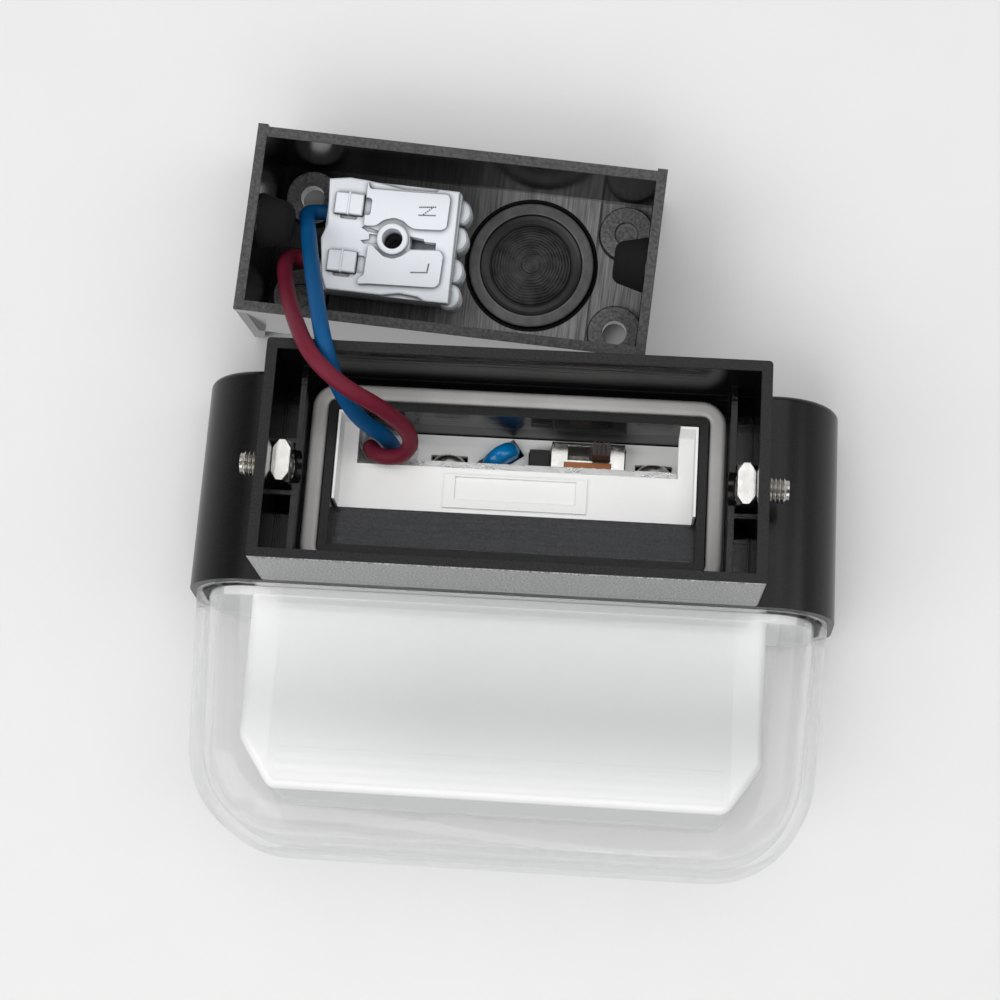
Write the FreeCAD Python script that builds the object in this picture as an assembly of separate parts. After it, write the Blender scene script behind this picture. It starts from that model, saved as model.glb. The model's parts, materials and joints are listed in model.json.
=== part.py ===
import FreeCAD, Part
import math
import os

# Outdoor LED wall light, opened for wiring: the lamp lies on its front with its wall side up, and
# its wall box lies on its back above it, joined to it by two wires.  Millimetres.
# The lamp is drawn in its own frame (x right, y to its top, z out of its wall side, z = 0 on the
# rim of the rear collar) and the box in its own (x, y as placed, z = 0 on its back), then both
# are laid on one flat surface.

# ---------------------------------------------------------------- driving dimensions
# layout on the surface
FRONT_SLANT = 11.9            # degrees between the lamp's front face and its collar rim
BOX_YAW = -4.13               # degrees, wall box turned on the surface
BOX_AT = (-15.25, 43.8)       # wall box centre, from the middle of the lamp's collar rim

# wall box
BOX_WIDTH = 81.4
BOX_HEIGHT = 37.4
BOX_DEPTH = 26.7
BOX_WALL = 1.98
BOX_TOP_STEP = 0.5            # the side walls stand this far past the top wall
BOX_FLOOR = 2.0
BOX_FLOOR_STEP = 0.8          # the middle of the floor is this much higher than its ends
FLOOR_STEP_INSET = 6.0        # step of the floor to the hole centres
HOLE_CENTRE = (1.0, -0.5)     # middle of the four holes, from the box centre
HOLE_INSET_X = 7.7            # half width of the box less half the hole spacing
HOLE_INSET_Y = 8.3
HOLE_RADIUS = 2.5
HOLE_BOSS_RADIUS = 5.6
HOLE_BOSS_RISE = 1.0
KNOCKOUT_SKIN = 0.6
KNOCKOUT_SINK = 0.4           # skin of a closed hole below the top of its boss
SOCKET_Y = 0.6
SOCKET_RIM_DEPTH = 6.2        # clamp socket axis below the box rim
SOCKET_RADIUS = 5.6
SOCKET_TIP_RADIUS = 3.9
SOCKET_TIP_FILLET = 1.9
SOCKET_LENGTH = 6.6
SOCKET_BORE = 2.9
SOCKET_BORE_TIP = 1.7
SOCKET_BORE_DEPTH = 5.4
LOCATING_RIB = 1.6
LOCATING_RIB_WIDTH = 2.0

# rear collar, which goes over the wall box
RIB_CLEARANCE = 0.25          # wall box side to channel rib
CHANNEL_RIB_WALL = 1.25
CHANNEL_RIB_HEIGHT = 8.3
NUT_CHANNEL = 3.6             # channel rib to collar wall
COLLAR_WALL = 2.1
COLLAR_GAP = 0.85             # wall box to collar wall, above and below
COLLAR_DEPTH = 17.75
COLLAR_CORNER = 0.8
NUT_STOP_WALL = 1.0
NUT_STOP_GAP = 0.7            # nut to stop rib, along y

# housing
HOUSING_SHOULDER = 15.3       # collar side to housing side
HOUSING_DRAFT = 3.0           # degrees, sides widen towards the front
HOUSING_TOP_STEP = 0.45       # collar top stands this far past the housing's top
HOUSING_WALL = 2.1
HOUSING_REAR_RADIUS = 13.0
HOUSING_FRONT_RADIUS = 8.0
HOUSING_TOP_FILLET = 1.2
FRONT_DEPTH = 48.0            # collar rim to front face, at the seam
SEAL_LEDGE_HEIGHT = 1.6

# wiring opening, its raised frame and the wall round the components
OPENING_RIB_GAP = 0.4         # gasket to channel rib
OPENING_SHELF_LOW = 5.15      # collar floor between the opening and the collar wall
OPENING_SHELF_HIGH = 6.45
FRAME_WALL = 1.7
FRAME_RISE = 2.75
FRAME_CORNER = 1.0
TUNNEL_TOP_DEPTH = 13.5       # black wall over the components, measured from the collar floor
WELL_DEPTH = 3.4              # black ledge under the white cover, from the collar floor
WELL_WALL = 1.9
WELL_HEIGHT = 9.2             # opening's low edge to the white cover

# rear gasket
GASKET_WIDTH = 3.2
GASKET_LOW_WIDTH = 2.85       # its lower run
GASKET_HEIGHT = 2.85
GASKET_CORNER = 5.0
GASKET_EDGE = 1.1
GASKET_SIDE_GAP = 0.25        # gasket to frame
GASKET_TOP_GAP = 0.3

# clamp screws (M5) and square nuts
SCREW_DIAMETER = 4.9
SCREW_CORE = 4.1
SCREW_PITCH = 0.8
SCREW_LENGTH = 10.0
SCREW_PROUD = 4.3
SCREW_Y = -1.0
SCREW_DEPTH = 9.0             # below the collar rim
SCREW_TIP_TAPER = 0.6
SCREW_PLAIN = 0.6             # without thread at each end
SCREW_FLANK = 0.32
SCREW_CREST = 0.12
SCREW_SOCKET = 2.5            # across the hexagon
SOCKET_DEPTH = 2.6
SCREW_RADIAL_PLAY = 0.05
SCREW_WALL_PLAY = 0.2
NUT_SIZE = 8.0
NUT_THICKNESS = 3.4
NUT_CHAMFER = 1.15
NUT_CHAMFER_ANGLE = 47.0
RIB_HOLE = 6.6

# clear cover, seal and inner diffuser
CLEAR_STEP = 1.3              # clear cover set in from the housing's outside
CLEAR_WALL = 2.4
CLEAR_LENGTH = 49.95          # seam to its bottom
CLEAR_TAPER = 3.4             # degrees, each side, narrowing to the bottom
CLEAR_CORNER = 20.0
CLEAR_REAR_RADIUS = 6.0
SEAM_GAP = 0.25
TONGUE_ROOT = 0.5             # tongue below the seam, inside the cover's wall
TONGUE_HEIGHT = 3.2
TONGUE_WALL = 1.5
TONGUE_PLAY = 0.2
SEAL_HEIGHT = 1.8
SEAL_WIDTH = 2.6
DIFFUSER_INSET = 13.2         # its side to the housing's side
DIFFUSER_LIFT = 10.8          # its bottom above the clear cover's bottom
DIFFUSER_WALL = 1.5
DIFFUSER_GAP = 0.6            # to the clear cover's rear and front walls
DIFFUSER_CORNER = 3.0
DIFFUSER_EDGE = 1.8
DIFFUSER_CHAMFER_X = 6.5
DIFFUSER_CHAMFER_Y = 9.5
DIFFUSER_FLANGE_PLAY = 0.35   # flange to the clear cover's inside
DIFFUSER_FLANGE_DROP = 0.4    # flange below the seam
DIFFUSER_FLANGE_HEIGHT = 1.5

# white inner cover
COVER_SINK = 3.75             # its face below the collar floor
COVER_FACE_WALL = 1.9
COVER_PLAY = 0.2
COVER_LIP = 0.5               # upturned edge along the frame's sides
COVER_LIP_SINK = 0.3          # its top below the frame's rim
WINDOW_INSET = 3.7            # window side to the opening's side
CHAMBER_INSET = 3.4           # chamber side to the opening's side
CHAMBER_WALL = 1.4
CHAMBER_REAR_WALL = 2.8
CHAMBER_BOTTOM_LIFT = 3.65    # chamber bottom above the seam
CHAMBER_FRONT_PLAY = 0.55     # chamber to the housing's front wall
SHELF_LIFT = 9.1              # shelf above the chamber's front
SHELF_WALL = 1.5
SHELF_OVER_BOARD = 0.3
LABEL_WIDTH = 28.2
LABEL_MARGIN_LOW = 0.9
LABEL_MARGIN_HIGH = 1.4
LABEL_RISE = 0.5
LABEL_SIDE_BORDER = 2.2
LABEL_LOW_BORDER = 1.7
LABEL_HIGH_BORDER = 0.5
PARTS_CLEARANCE = 0.25        # shelf cut-outs round the components
PARTS_ROOM = 7.75             # board to the opening's high edge

# board and what is on it; depths are from the board's front edge
BOARD_END_GAP = 0.5
BOARD_SILL_GAP = 0.05
BOARD_THICKNESS = 1.3
BOARD_FACE_SINK = 0.3         # its rear edge below the white cover's face
BOARD_FRONT_PLAY = 0.2
BOARD_NOTCH_X = 7.9
BOARD_NOTCH_Z = 11.4
NOTCH_PLAY = 0.4
LED_END = 4.0                 # least distance of an LED's middle to the board's end
LED_PITCH = 5.4
LED_LENGTH = 3.0
LED_WIDTH = 2.8
LED_HEIGHT = 0.7
LED_ROW_AT = 3.2
BOARD_SCREW_LEFT = 17.5       # left screw to the board's left end
BOARD_SCREW_RIGHT = 4.4
BOARD_SCREW_AT = 8.4
BOARD_SCREW_HEAD = 7.0
BOARD_SCREW_HEAD_HEIGHT = 3.1
BOARD_SCREW_CROWN = 1.7
CROSS_LENGTH = 3.4
CROSS_WIDTH = 0.9
CROSS_DEPTH = 1.7
BOARD_SCREW_SHANK = 3.4
BOARD_SCREW_LENGTH = 8.0
BOARD_SCREW_PLAY = 0.05
SCREW_BOSS = 6.6
VARISTOR_DIAMETER = 8.2
VARISTOR_THICKNESS = 3.6
VARISTOR_EDGE = 1.6
VARISTOR_X = -3.6
VARISTOR_AT = 9.1             # its middle
VARISTOR_LEAN = 36.0          # degrees, rising to the right
BRIDGE_X = 2.2
BRIDGE_AT = 5.4               # its front
BRIDGE_SIZE = (4.1, 4.8, 6.0)
CHIP_X = (-22.0, -8.0, 22.0)
CHIP_SIZE = (4.9, 1.6, 3.9)
CHIP_AT = 0.5                 # their front

# three-position slide switch, its knob at the right-hand stop
SWITCH_LEFT = 6.6
SWITCH_LENGTH = 14.6
SWITCH_HEIGHT = 6.3
SWITCH_AT = 7.8               # its front
SWITCH_BODY_DEPTH = 4.6
SWITCH_SHELL_WALL = 0.35
SWITCH_EAR = 2.6
SWITCH_SLOT_LEFT = 3.25
SWITCH_SLOT_LOW = 2.65
SWITCH_SLOT_HIGH = 5.6
SWITCH_BASE_HEIGHT = 2.25
SWITCH_BASE_STEP = 0.3
SWITCH_PLAY = 0.1
KNOB_WIDTH = 3.5
KNOB_PROUD = 3.9
KNOB_HEIGHT = 2.75
KNOB_PLAY = 0.1
KNOB_STEP = 2.4               # from one of its three positions to the next
KNOB_STEM = 1.6
KNOB_SHOULDER = 0.6
KNOB_CARRIAGE_PLAY = 0.05
KNOB_GROOVES = 3
KNOB_GROOVE_WIDTH = 0.4
KNOB_GROOVE_DEPTH = 0.35
PIN_PITCH = 2.2
PIN_SIZE = 0.7
PIN_HEIGHT = 0.75             # their middle above the board
PIN_PROUD = 0.35
PIN_COUNT = 4

# cable ring in the left end of the window
RING_END_GAP = 5.4            # its middle to the board's left end
RING_LIFT = 3.65              # its middle above the board
RING_LENGTH = 11.6
RING_HEIGHT = 7.0
RING_WALL = 0.6
RING_PROUD = 3.4

# cable grommet
GROMMET_BLOCK_GAP = 14.8      # its middle to the terminal block's right end
GROMMET_Y = 1.2
GROMMET_HOLE = 11.0
GROMMET_FLANGE = 13.0
GROMMET_FLANGE_EDGE = 0.5
GROMMET_RISE = 1.4
GROMMET_LIP = 10.4
GROMMET_DOME = 8.2
GROMMET_DIP = 1.0             # rim of the dome below the flange
GROMMET_DOME_RISE = 1.5
GROMMET_DOT = 2.3
GROMMET_DOT_SINK = 0.3
GROMMET_TUBE = 1.4
GROMMET_SKIN = 0.9
GROMMET_PLAY = 0.05
GROMMET_SEAT_PLAY = 0.35
GROMMET_FOOT = 0.2            # its inside above the back
GROMMET_DOME_SHARE = 0.72     # where the dome bends, as a share of its radius

# terminal block
BLOCK_END_GAP = 14.1          # its wire end to the box's left side
BLOCK_Y = 0.55
BLOCK_LENGTH = 26.9
BLOCK_WIDTH = 23.0
BLOCK_TOP = 16.6
BLOCK_CORNER = 1.2
BLOCK_FOOT_INSET = 0.5
BLOCK_UNDERCUT = 1.6
BLOCK_UNDERCUT_HEIGHT = 7.0
PLATEAU_RISE = 0.8
PLATEAU_WIDTH = 7.5
PLATEAU_START = 7.6
PLATEAU_END = 2.2
PLATEAU_Y = (6.95, -5.05)
PLATEAU_CORNER = 1.0
BLOCK_EYE_OUTER = 3.2
BLOCK_EYE_INNER = 2.1
BLOCK_EYE_RISE = 1.2
BLOCK_EYE_X = 14.1            # from the block's wire end
BLOCK_SLOT_GAP = 0.3          # slot to the eye's rim
BLOCK_SLOT_LENGTH = 5.5
BLOCK_SLOT_WIDTH = 2.6
BLOCK_SLOT_DEPTH = 5.0
POST_RADIUS = 1.9
POST_SINK = 4.0               # top of the post below the block's top
FUNNEL_RADIUS = 2.6
FUNNEL_Y = (8.3, 2.8, -3.9, -9.0)
FUNNEL_LENGTH = 2.0
FUNNEL_BORE = 1.7
FUNNEL_MOUTH = 2.3
FUNNEL_MOUTH_DEPTH = 1.5
FUNNEL_BORE_DEPTH = 5.5
FUNNEL_HEIGHT = 11.2          # above the box back
LEVER_LENGTH = 5.7
LEVER_WIDTH = 4.2
LEVER_INSET = 1.65
LEVER_Y = (6.7, -5.1)
LEVER_PROUD = 1.5
LEVER_DEEP = 3.0
LEVER_EDGE = 0.4
LEVER_GROOVE_AT = 2.6
LEVER_GROOVE_WIDTH = 0.4
LEVER_GROOVE_DEPTH = 0.25
LEVER_PLAY = 0.15
LEVER_TRAVEL = 1.2
CONTACT_GAP = 2.0             # contact to lever, along x
CONTACT_LENGTH = 9.6
CONTACT_WIDTH = 5.6
CONTACT_HEIGHT = 4.0
CONTACT_PLAY = 0.15
WIRE_PORT = 1.75
WIRE_PORT_Y = (5.6, -5.9)
WIRE_PORT_HEIGHT = 11.0       # above the box back
WIRE_PORT_DEPTH = 5.6

# wires: centre lines chosen by hand, from the middle of the collar rim, height from the surface
WIRE_DIAMETER = 3.2
ARC_SHARE = 0.45              # part of a run that an arc at one end may take
WIRE_BLUE = [
    (-37.2, 51.0, 11.0), (-43.6, 51.5, 11.0), (-46.2, 50.6, 13.6), (-44.6, 46.6, 19.0),
    (-42.2, 37.9, 27.5), (-39.0, 28.0, 37.0), (-36.3, 19.6, 43.4), (-34.1, 12.2, 37.0),
    (-30.6, 7.0, 27.5), (-25.7, 4.9, 20.2), (-25.2, 3.2, 13.0),
]
WIRE_BURGUNDY = [
    (-38.0, 39.5, 11.0), (-43.6, 39.9, 11.0), (-48.5, 42.2, 13.0), (-49.2, 39.2, 18.2),
    (-46.9, 32.6, 26.5), (-43.2, 25.0, 37.3), (-38.5, 17.0, 45.0), (-32.1, 11.6, 44.5),
    (-25.5, 8.8, 38.5), (-21.2, 5.9, 30.0), (-20.4, 3.1, 25.2), (-22.9, 0.8, 22.7),
    (-27.7, 0.8, 21.9), (-29.8, 3.4, 18.6), (-29.5, 3.0, 13.0),
]

# ---------------------------------------------------------------- derived sizes
JOIN = 0.2                    # how far a moulding's wall runs into the next one
PAST = 1.0                    # how far a cutting tool runs past a face
TOUCH = 0.01                  # two places closer than this are the same
FAR = 300.0                   # longer than anything here, for cutting tools

SLOPE = math.radians(FRONT_SLANT)
RIB_INNER = BOX_WIDTH / 2 + RIB_CLEARANCE
RIB_OUTER = RIB_INNER + CHANNEL_RIB_WALL
COLLAR_INSIDE = RIB_OUTER + NUT_CHANNEL
COLLAR_HALF = COLLAR_INSIDE + COLLAR_WALL
COLLAR_INSIDE_Y = BOX_HEIGHT / 2 + COLLAR_GAP
COLLAR_HALF_Y = COLLAR_INSIDE_Y + COLLAR_WALL
HOUSING_HALF_WIDTH = COLLAR_HALF + HOUSING_SHOULDER
HOUSING_TOP = COLLAR_HALF_Y - HOUSING_TOP_STEP
SEAM_Y = -COLLAR_HALF_Y
SEAL_TOP = SEAM_Y + TONGUE_HEIGHT + SEAL_HEIGHT
CLEAR_BOTTOM = SEAM_Y - CLEAR_LENGTH
REAR_Z = -COLLAR_DEPTH
SCREW_Z = -SCREW_DEPTH
OPENING_HALF_WIDTH = RIB_INNER - OPENING_RIB_GAP - GASKET_WIDTH - GASKET_SIDE_GAP - FRAME_WALL
OPENING_LOW = -COLLAR_INSIDE_Y + OPENING_SHELF_LOW
OPENING_HIGH = COLLAR_INSIDE_Y - OPENING_SHELF_HIGH
WELL_Z = REAR_Z - WELL_DEPTH
COVER_Z = REAR_Z - COVER_SINK
COVER_BACK = COVER_Z - COVER_FACE_WALL
COVER_TOP = OPENING_HIGH - COVER_PLAY
COVER_LOW = OPENING_LOW + WELL_HEIGHT
BOARD_TOP = OPENING_HIGH - PARTS_ROOM
BOARD_LOW = BOARD_TOP - BOARD_THICKNESS
COVER_SILL = BOARD_LOW - BOARD_SILL_GAP
LABEL_LOW = COVER_LOW + LABEL_MARGIN_LOW
LABEL_HIGH = COVER_SILL - LABEL_MARGIN_HIGH
WINDOW_HALF_WIDTH = OPENING_HALF_WIDTH - WINDOW_INSET
CHAMBER_HALF_WIDTH = OPENING_HALF_WIDTH - CHAMBER_INSET
CHAMBER_BOTTOM = SEAM_Y + CHAMBER_BOTTOM_LIFT
BOARD_HALF_LENGTH = CHAMBER_HALF_WIDTH - BOARD_END_GAP
BOARD_SCREW_X = (BOARD_SCREW_LEFT - BOARD_HALF_LENGTH, BOARD_HALF_LENGTH - BOARD_SCREW_RIGHT)
HOLE_HALF_X = BOX_WIDTH / 2 - HOLE_INSET_X
HOLE_HALF_Y = BOX_HEIGHT / 2 - HOLE_INSET_Y
FLOOR_STEP_X = HOLE_HALF_X - FLOOR_STEP_INSET
BOX_FLOOR_HIGH = BOX_FLOOR + BOX_FLOOR_STEP
BLOCK_LEFT = BLOCK_END_GAP - BOX_WIDTH / 2
BLOCK_RIGHT = BLOCK_LEFT + BLOCK_LENGTH
EYE_X = BLOCK_LEFT + BLOCK_EYE_X
GROMMET_X = BLOCK_RIGHT + GROMMET_BLOCK_GAP


def front_z(y, inset=0.0):
    """Height of the slanted front face at y, moved inwards by inset."""
    return -FRONT_DEPTH + (y - SEAM_Y) * math.tan(SLOPE) + inset / math.cos(SLOPE)


CHAMBER_FRONT = front_z(COVER_TOP, HOUSING_WALL) + CHAMBER_FRONT_PLAY
BOARD_REAR = COVER_Z - BOARD_FACE_SINK
BOARD_FRONT = CHAMBER_FRONT + BOARD_FRONT_PLAY
SHELF_Z = CHAMBER_FRONT + SHELF_LIFT
BOARD_SCREW_Z = BOARD_FRONT + BOARD_SCREW_AT
VARISTOR_Z = BOARD_FRONT + VARISTOR_AT
SWITCH_SLOT = KNOB_WIDTH + 2 * (KNOB_STEP + KNOB_PLAY)
SWITCH_Z = BOARD_FRONT + SWITCH_AT + SWITCH_BODY_DEPTH


# ---------------------------------------------------------------- shape helpers
def block(x0, x1, y0, y1, z0, z1):
    return Part.makeBox(x1 - x0, y1 - y0, z1 - z0, FreeCAD.Vector(x0, y0, z0))


def rod(radius, start, direction, length):
    return Part.makeCylinder(radius, length, FreeCAD.Vector(*start), FreeCAD.Vector(*direction))


def cone(radius, end_radius, start, direction, length):
    return Part.makeCone(radius, end_radius, length, FreeCAD.Vector(*start),
                         FreeCAD.Vector(*direction))


def joined(shapes):
    """One solid out of shapes that touch or overlap."""
    shapes = list(shapes)
    whole = shapes[0].multiFuse(shapes[1:]) if len(shapes) > 1 else shapes[0]
    return whole.removeSplitter()


def rounded_path(points, radii, closed=True):
    """Straight runs through the points, each corner rounded by the arc of its radius."""
    points = [FreeCAD.Vector(*p) for p in points]
    count = len(points)
    edges = []
    corners = []
    for index, point in enumerate(points):
        radius = radii[index]
        if radius <= 0 or (not closed and index in (0, count - 1)):
            corners.append((point, None, point))
            continue
        back = (points[index - 1] - point).normalize()
        ahead = (points[(index + 1) % count] - point).normalize()
        half_turn = (math.pi - back.getAngle(ahead)) / 2
        reach = radius * math.tan(half_turn)
        inward = (back + ahead).normalize()
        middle = point + inward * (radius / math.cos(half_turn) - radius)
        corners.append((point + back * reach, middle, point + ahead * reach))
    for index, (start, middle, end) in enumerate(corners):
        if middle is not None:
            edges.append(Part.Arc(start, middle, end).toShape())
        if closed or index < count - 1:
            following = corners[(index + 1) % count][0]
            if (following - end).Length > 1e-6:
                edges.append(Part.LineSegment(end, following).toShape())
    return Part.Wire(edges)


def prism(points, radii, direction):
    """The rounded outline as a solid, extruded along the direction."""
    return Part.Face(rounded_path(points, radii)).extrude(FreeCAD.Vector(*direction))


def rounded_block(x0, x1, y0, y1, z0, z1, radius):
    """A block whose four edges along z are rounded."""
    corners = [(x0, y0, z0), (x1, y0, z0), (x1, y1, z0), (x0, y1, z0)]
    return prism(corners, [radius] * 4, (0, 0, z1 - z0))


def ring_block(half_x, low_y, high_y, wall, z0, z1, corner):
    """A rectangular ring; wall goes outwards from the opening, corner is the outer radius."""
    outer = rounded_block(-half_x - wall, half_x + wall, low_y - wall, high_y + wall, z0, z1, corner)
    inner = rounded_block(-half_x, half_x, low_y, high_y, z0 - PAST, z1 + PAST,
                          max(corner - wall, 0))
    return outer.cut(inner)


def frustum(near, far):
    """A solid with flat sides between two four-sided outlines."""
    sides = [[near[k], near[(k + 1) % 4], far[(k + 1) % 4], far[k]] for k in range(4)]
    faces = []
    for outline in [near, far] + sides:
        corners = [FreeCAD.Vector(*point) for point in outline]
        faces.append(Part.Face(Part.makePolygon(corners + corners[:1])))
    solid = Part.makeSolid(Part.makeShell(faces))
    if solid.Volume < 0:
        solid.reverse()
    return solid


def edges_where(shape, test):
    return [edge for edge in shape.Edges if test(edge)]


def both_ends(edge, test):
    return all(test(vertex.Point) for vertex in edge.Vertexes)


def mirrored(shape):
    """The same piece on the other side of x = 0."""
    return shape.mirror(FreeCAD.Vector(0, 0, 0), FreeCAD.Vector(1, 0, 0))


# ---------------------------------------------------------------- lamp envelope
def behind_front(inset):
    """Everything beyond the slanted front face, as a cutting tool."""
    tool = block(-FAR, FAR, -FAR, FAR, -FAR, 0)
    tool.rotate(FreeCAD.Vector(0, 0, 0), FreeCAD.Vector(1, 0, 0), FRONT_SLANT)
    tool.translate(FreeCAD.Vector(0, 0, front_z(0, inset)))
    return tool


def on_front(inset):
    """Test for a point on the slanted front face."""
    return lambda point: abs(point.z - front_z(point.y, inset)) < TOUCH


def lamp_body(inset, low_y, high_y):
    """The lamp's rounded plan shape, set in by inset, between two heights."""
    top_z = REAR_Z - inset
    deep_z = -FRONT_DEPTH * 2
    lean = math.tan(math.radians(HOUSING_DRAFT))
    half = HOUSING_HALF_WIDTH - inset
    deep_half = half + (top_z - deep_z) * lean
    radius = HOUSING_REAR_RADIUS - inset
    outline = [(-half, low_y, top_z), (half, low_y, top_z),
               (deep_half, low_y, deep_z), (-deep_half, low_y, deep_z)]
    body = prism(outline, [radius, radius, 0, 0], (0, high_y - low_y, 0))
    body = body.cut(behind_front(inset))

    def front_side(edge):
        along_y = abs(edge.Vertexes[0].Point.y - edge.Vertexes[-1].Point.y) > PAST
        return along_y and both_ends(edge, on_front(inset))

    return body.makeFillet(HOUSING_FRONT_RADIUS - inset, edges_where(body, front_side))


def clear_body(inset):
    """The clear cover's outside below the seam, set in by inset, with rounded ends."""
    total = CLEAR_STEP + inset
    bottom = CLEAR_BOTTOM + inset
    top = SEAM_Y - SEAM_GAP
    rear = REAR_Z - total
    deep = -FRONT_DEPTH * 2
    lean = (rear - deep) * math.tan(math.radians(HOUSING_DRAFT))
    wide = HOUSING_HALF_WIDTH - total
    narrow = wide - (top - bottom) * math.tan(math.radians(CLEAR_TAPER))
    ends = [[(-half, y, rear), (half, y, rear), (half + lean, y, deep), (-half - lean, y, deep)]
            for half, y in ((narrow, bottom), (wide, top))]
    body = frustum(*ends).cut(behind_front(total))

    def lower_corner(edge):
        runs_deep = edge.BoundBox.ZLength > CLEAR_WALL
        return runs_deep and both_ends(edge, lambda p: abs(p.y - bottom) < TOUCH)

    body = body.makeFillet(CLEAR_CORNER - inset, edges_where(body, lower_corner))

    def front_rim(edge):
        return both_ends(edge, on_front(total)) and edge.CenterOfMass.y < top - PAST

    body = body.makeFillet(HOUSING_FRONT_RADIUS - total, edges_where(body, front_rim))
    return round_rear(body, rear, bottom, HOUSING_REAR_RADIUS - total, CLEAR_REAR_RADIUS - inset)


def round_rear(body, rear, bottom, side_radius, bottom_radius):
    """Rear rim of the clear cover: wide along the sides, running down to tight along the bottom."""
    sheet = FreeCAD.newDocument()
    source = sheet.addObject("Part::Feature")
    source.Shape = body
    fillet = sheet.addObject("Part::Fillet")
    fillet.Base = source
    radii = []
    for index, edge in enumerate(body.Edges):
        on_rear = both_ends(edge, lambda p: abs(p.z - rear) < TOUCH)
        if not on_rear or edge.CenterOfMass.y > SEAM_Y - PAST:
            continue
        ends = [edge.valueAt(edge.FirstParameter), edge.valueAt(edge.LastParameter)]
        ends = [bottom_radius if abs(p.y - bottom) < TOUCH else side_radius for p in ends]
        if edge.Orientation == "Reversed":
            ends.reverse()
        radii.append((index + 1, ends[0], ends[1]))
    fillet.Edges = radii
    sheet.recompute()
    rounded = fillet.Shape.copy()
    FreeCAD.closeDocument(sheet.Name)
    return rounded


# ---------------------------------------------------------------- housing
def housing_shell():
    outside = lamp_body(0, SEAM_Y, HOUSING_TOP)
    top_edges = edges_where(outside, lambda e: both_ends(e, lambda p: p.y > HOUSING_TOP - TOUCH))
    outside = outside.makeFillet(HOUSING_TOP_FILLET, top_edges)
    inside = lamp_body(HOUSING_WALL, SEAM_Y - PAST, HOUSING_TOP - HOUSING_WALL)
    return outside.cut(inside)


def collar():
    return ring_block(COLLAR_INSIDE, -COLLAR_INSIDE_Y, COLLAR_INSIDE_Y, COLLAR_WALL,
                      REAR_Z - HOUSING_WALL, 0, COLLAR_CORNER)


def wiring_frame():
    """Raised frame round the opening, the wall over the components and the black ledge."""
    foot = WELL_Z - WELL_WALL
    frame = ring_block(OPENING_HALF_WIDTH, OPENING_LOW, OPENING_HIGH, FRAME_WALL, foot,
                       REAR_Z + FRAME_RISE, FRAME_CORNER)
    outer = OPENING_HALF_WIDTH + FRAME_WALL
    tunnel_top = block(-outer, outer, OPENING_HIGH, OPENING_HIGH + FRAME_WALL,
                       REAR_Z - TUNNEL_TOP_DEPTH, REAR_Z - HOUSING_WALL)
    ledge = block(-OPENING_HALF_WIDTH - JOIN, OPENING_HALF_WIDTH + JOIN, OPENING_LOW - JOIN,
                  COVER_LOW - COVER_PLAY, foot, WELL_Z)
    return [frame, tunnel_top, ledge]


def side_channel():
    """Channel rib, nut stops and nut rest on the right; the left is its mirror image."""
    end = COLLAR_INSIDE_Y + JOIN
    wall = COLLAR_INSIDE + JOIN
    near = RIB_OUTER - JOIN
    base = REAR_Z - JOIN
    top = REAR_Z + CHANNEL_RIB_HEIGHT
    pieces = [block(RIB_INNER, RIB_OUTER, -end, end, base, top)]
    reach = NUT_SIZE / 2 + NUT_STOP_GAP
    for low in (SCREW_Y - reach - NUT_STOP_WALL, SCREW_Y + reach):
        pieces.append(block(near, wall, low, low + NUT_STOP_WALL, base, top))
    pieces.append(block(near, wall, SCREW_Y - NUT_SIZE / 2, SCREW_Y + NUT_SIZE / 2, base,
                        SCREW_Z - NUT_SIZE / 2))
    tip_hole = rod(RIB_HOLE / 2, (RIB_INNER - PAST, SCREW_Y, SCREW_Z), (1, 0, 0),
                   CHANNEL_RIB_WALL + 2 * PAST)
    return joined(pieces).cut(tip_hole)


def seal_ledge():
    """Narrow shelf inside the housing that the seal is pressed against."""
    top = SEAL_TOP + SEAL_LEDGE_HEIGHT
    outer = lamp_body(HOUSING_WALL - JOIN, SEAL_TOP, top)
    return outer.cut(lamp_body(HOUSING_WALL + SEAL_WIDTH, SEAL_TOP - PAST, top + PAST))


def housing():
    shell = housing_shell()
    mouth = block(-OPENING_HALF_WIDTH, OPENING_HALF_WIDTH, OPENING_LOW, OPENING_HIGH,
                  REAR_Z - HOUSING_WALL - PAST, REAR_Z + PAST)
    channel = side_channel()
    body = joined([shell.cut(mouth), collar(), channel, mirrored(channel), seal_ledge()]
                  + wiring_frame())
    hole = rod(SCREW_DIAMETER / 2 + SCREW_WALL_PLAY, (COLLAR_INSIDE - PAST, SCREW_Y, SCREW_Z),
               (1, 0, 0), COLLAR_WALL + 2 * PAST)
    return body.cut(hole).cut(mirrored(hole))


# ---------------------------------------------------------------- seals, clear cover, diffuser
def rear_gasket():
    half_x = OPENING_HALF_WIDTH + FRAME_WALL + GASKET_SIDE_GAP
    low = OPENING_LOW - FRAME_WALL - GASKET_TOP_GAP
    high = OPENING_HIGH + FRAME_WALL + GASKET_TOP_GAP
    top = REAR_Z + GASKET_HEIGHT
    outer = rounded_block(-half_x - GASKET_WIDTH, half_x + GASKET_WIDTH, low - GASKET_LOW_WIDTH,
                          high + GASKET_WIDTH, REAR_Z, top, GASKET_CORNER)
    inner = rounded_block(-half_x, half_x, low, high, REAR_Z - PAST, top + PAST,
                          GASKET_CORNER - GASKET_WIDTH)
    ring = outer.cut(inner)
    rim = edges_where(ring, lambda e: both_ends(e, lambda p: p.z > top - TOUCH))
    return ring.makeFillet(GASKET_EDGE, rim)


def cover_seal():
    low = SEAM_Y + TONGUE_HEIGHT
    ring = lamp_body(HOUSING_WALL + TONGUE_PLAY, low, SEAL_TOP)
    return ring.cut(lamp_body(HOUSING_WALL + SEAL_WIDTH, low - PAST, SEAL_TOP + PAST))


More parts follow.
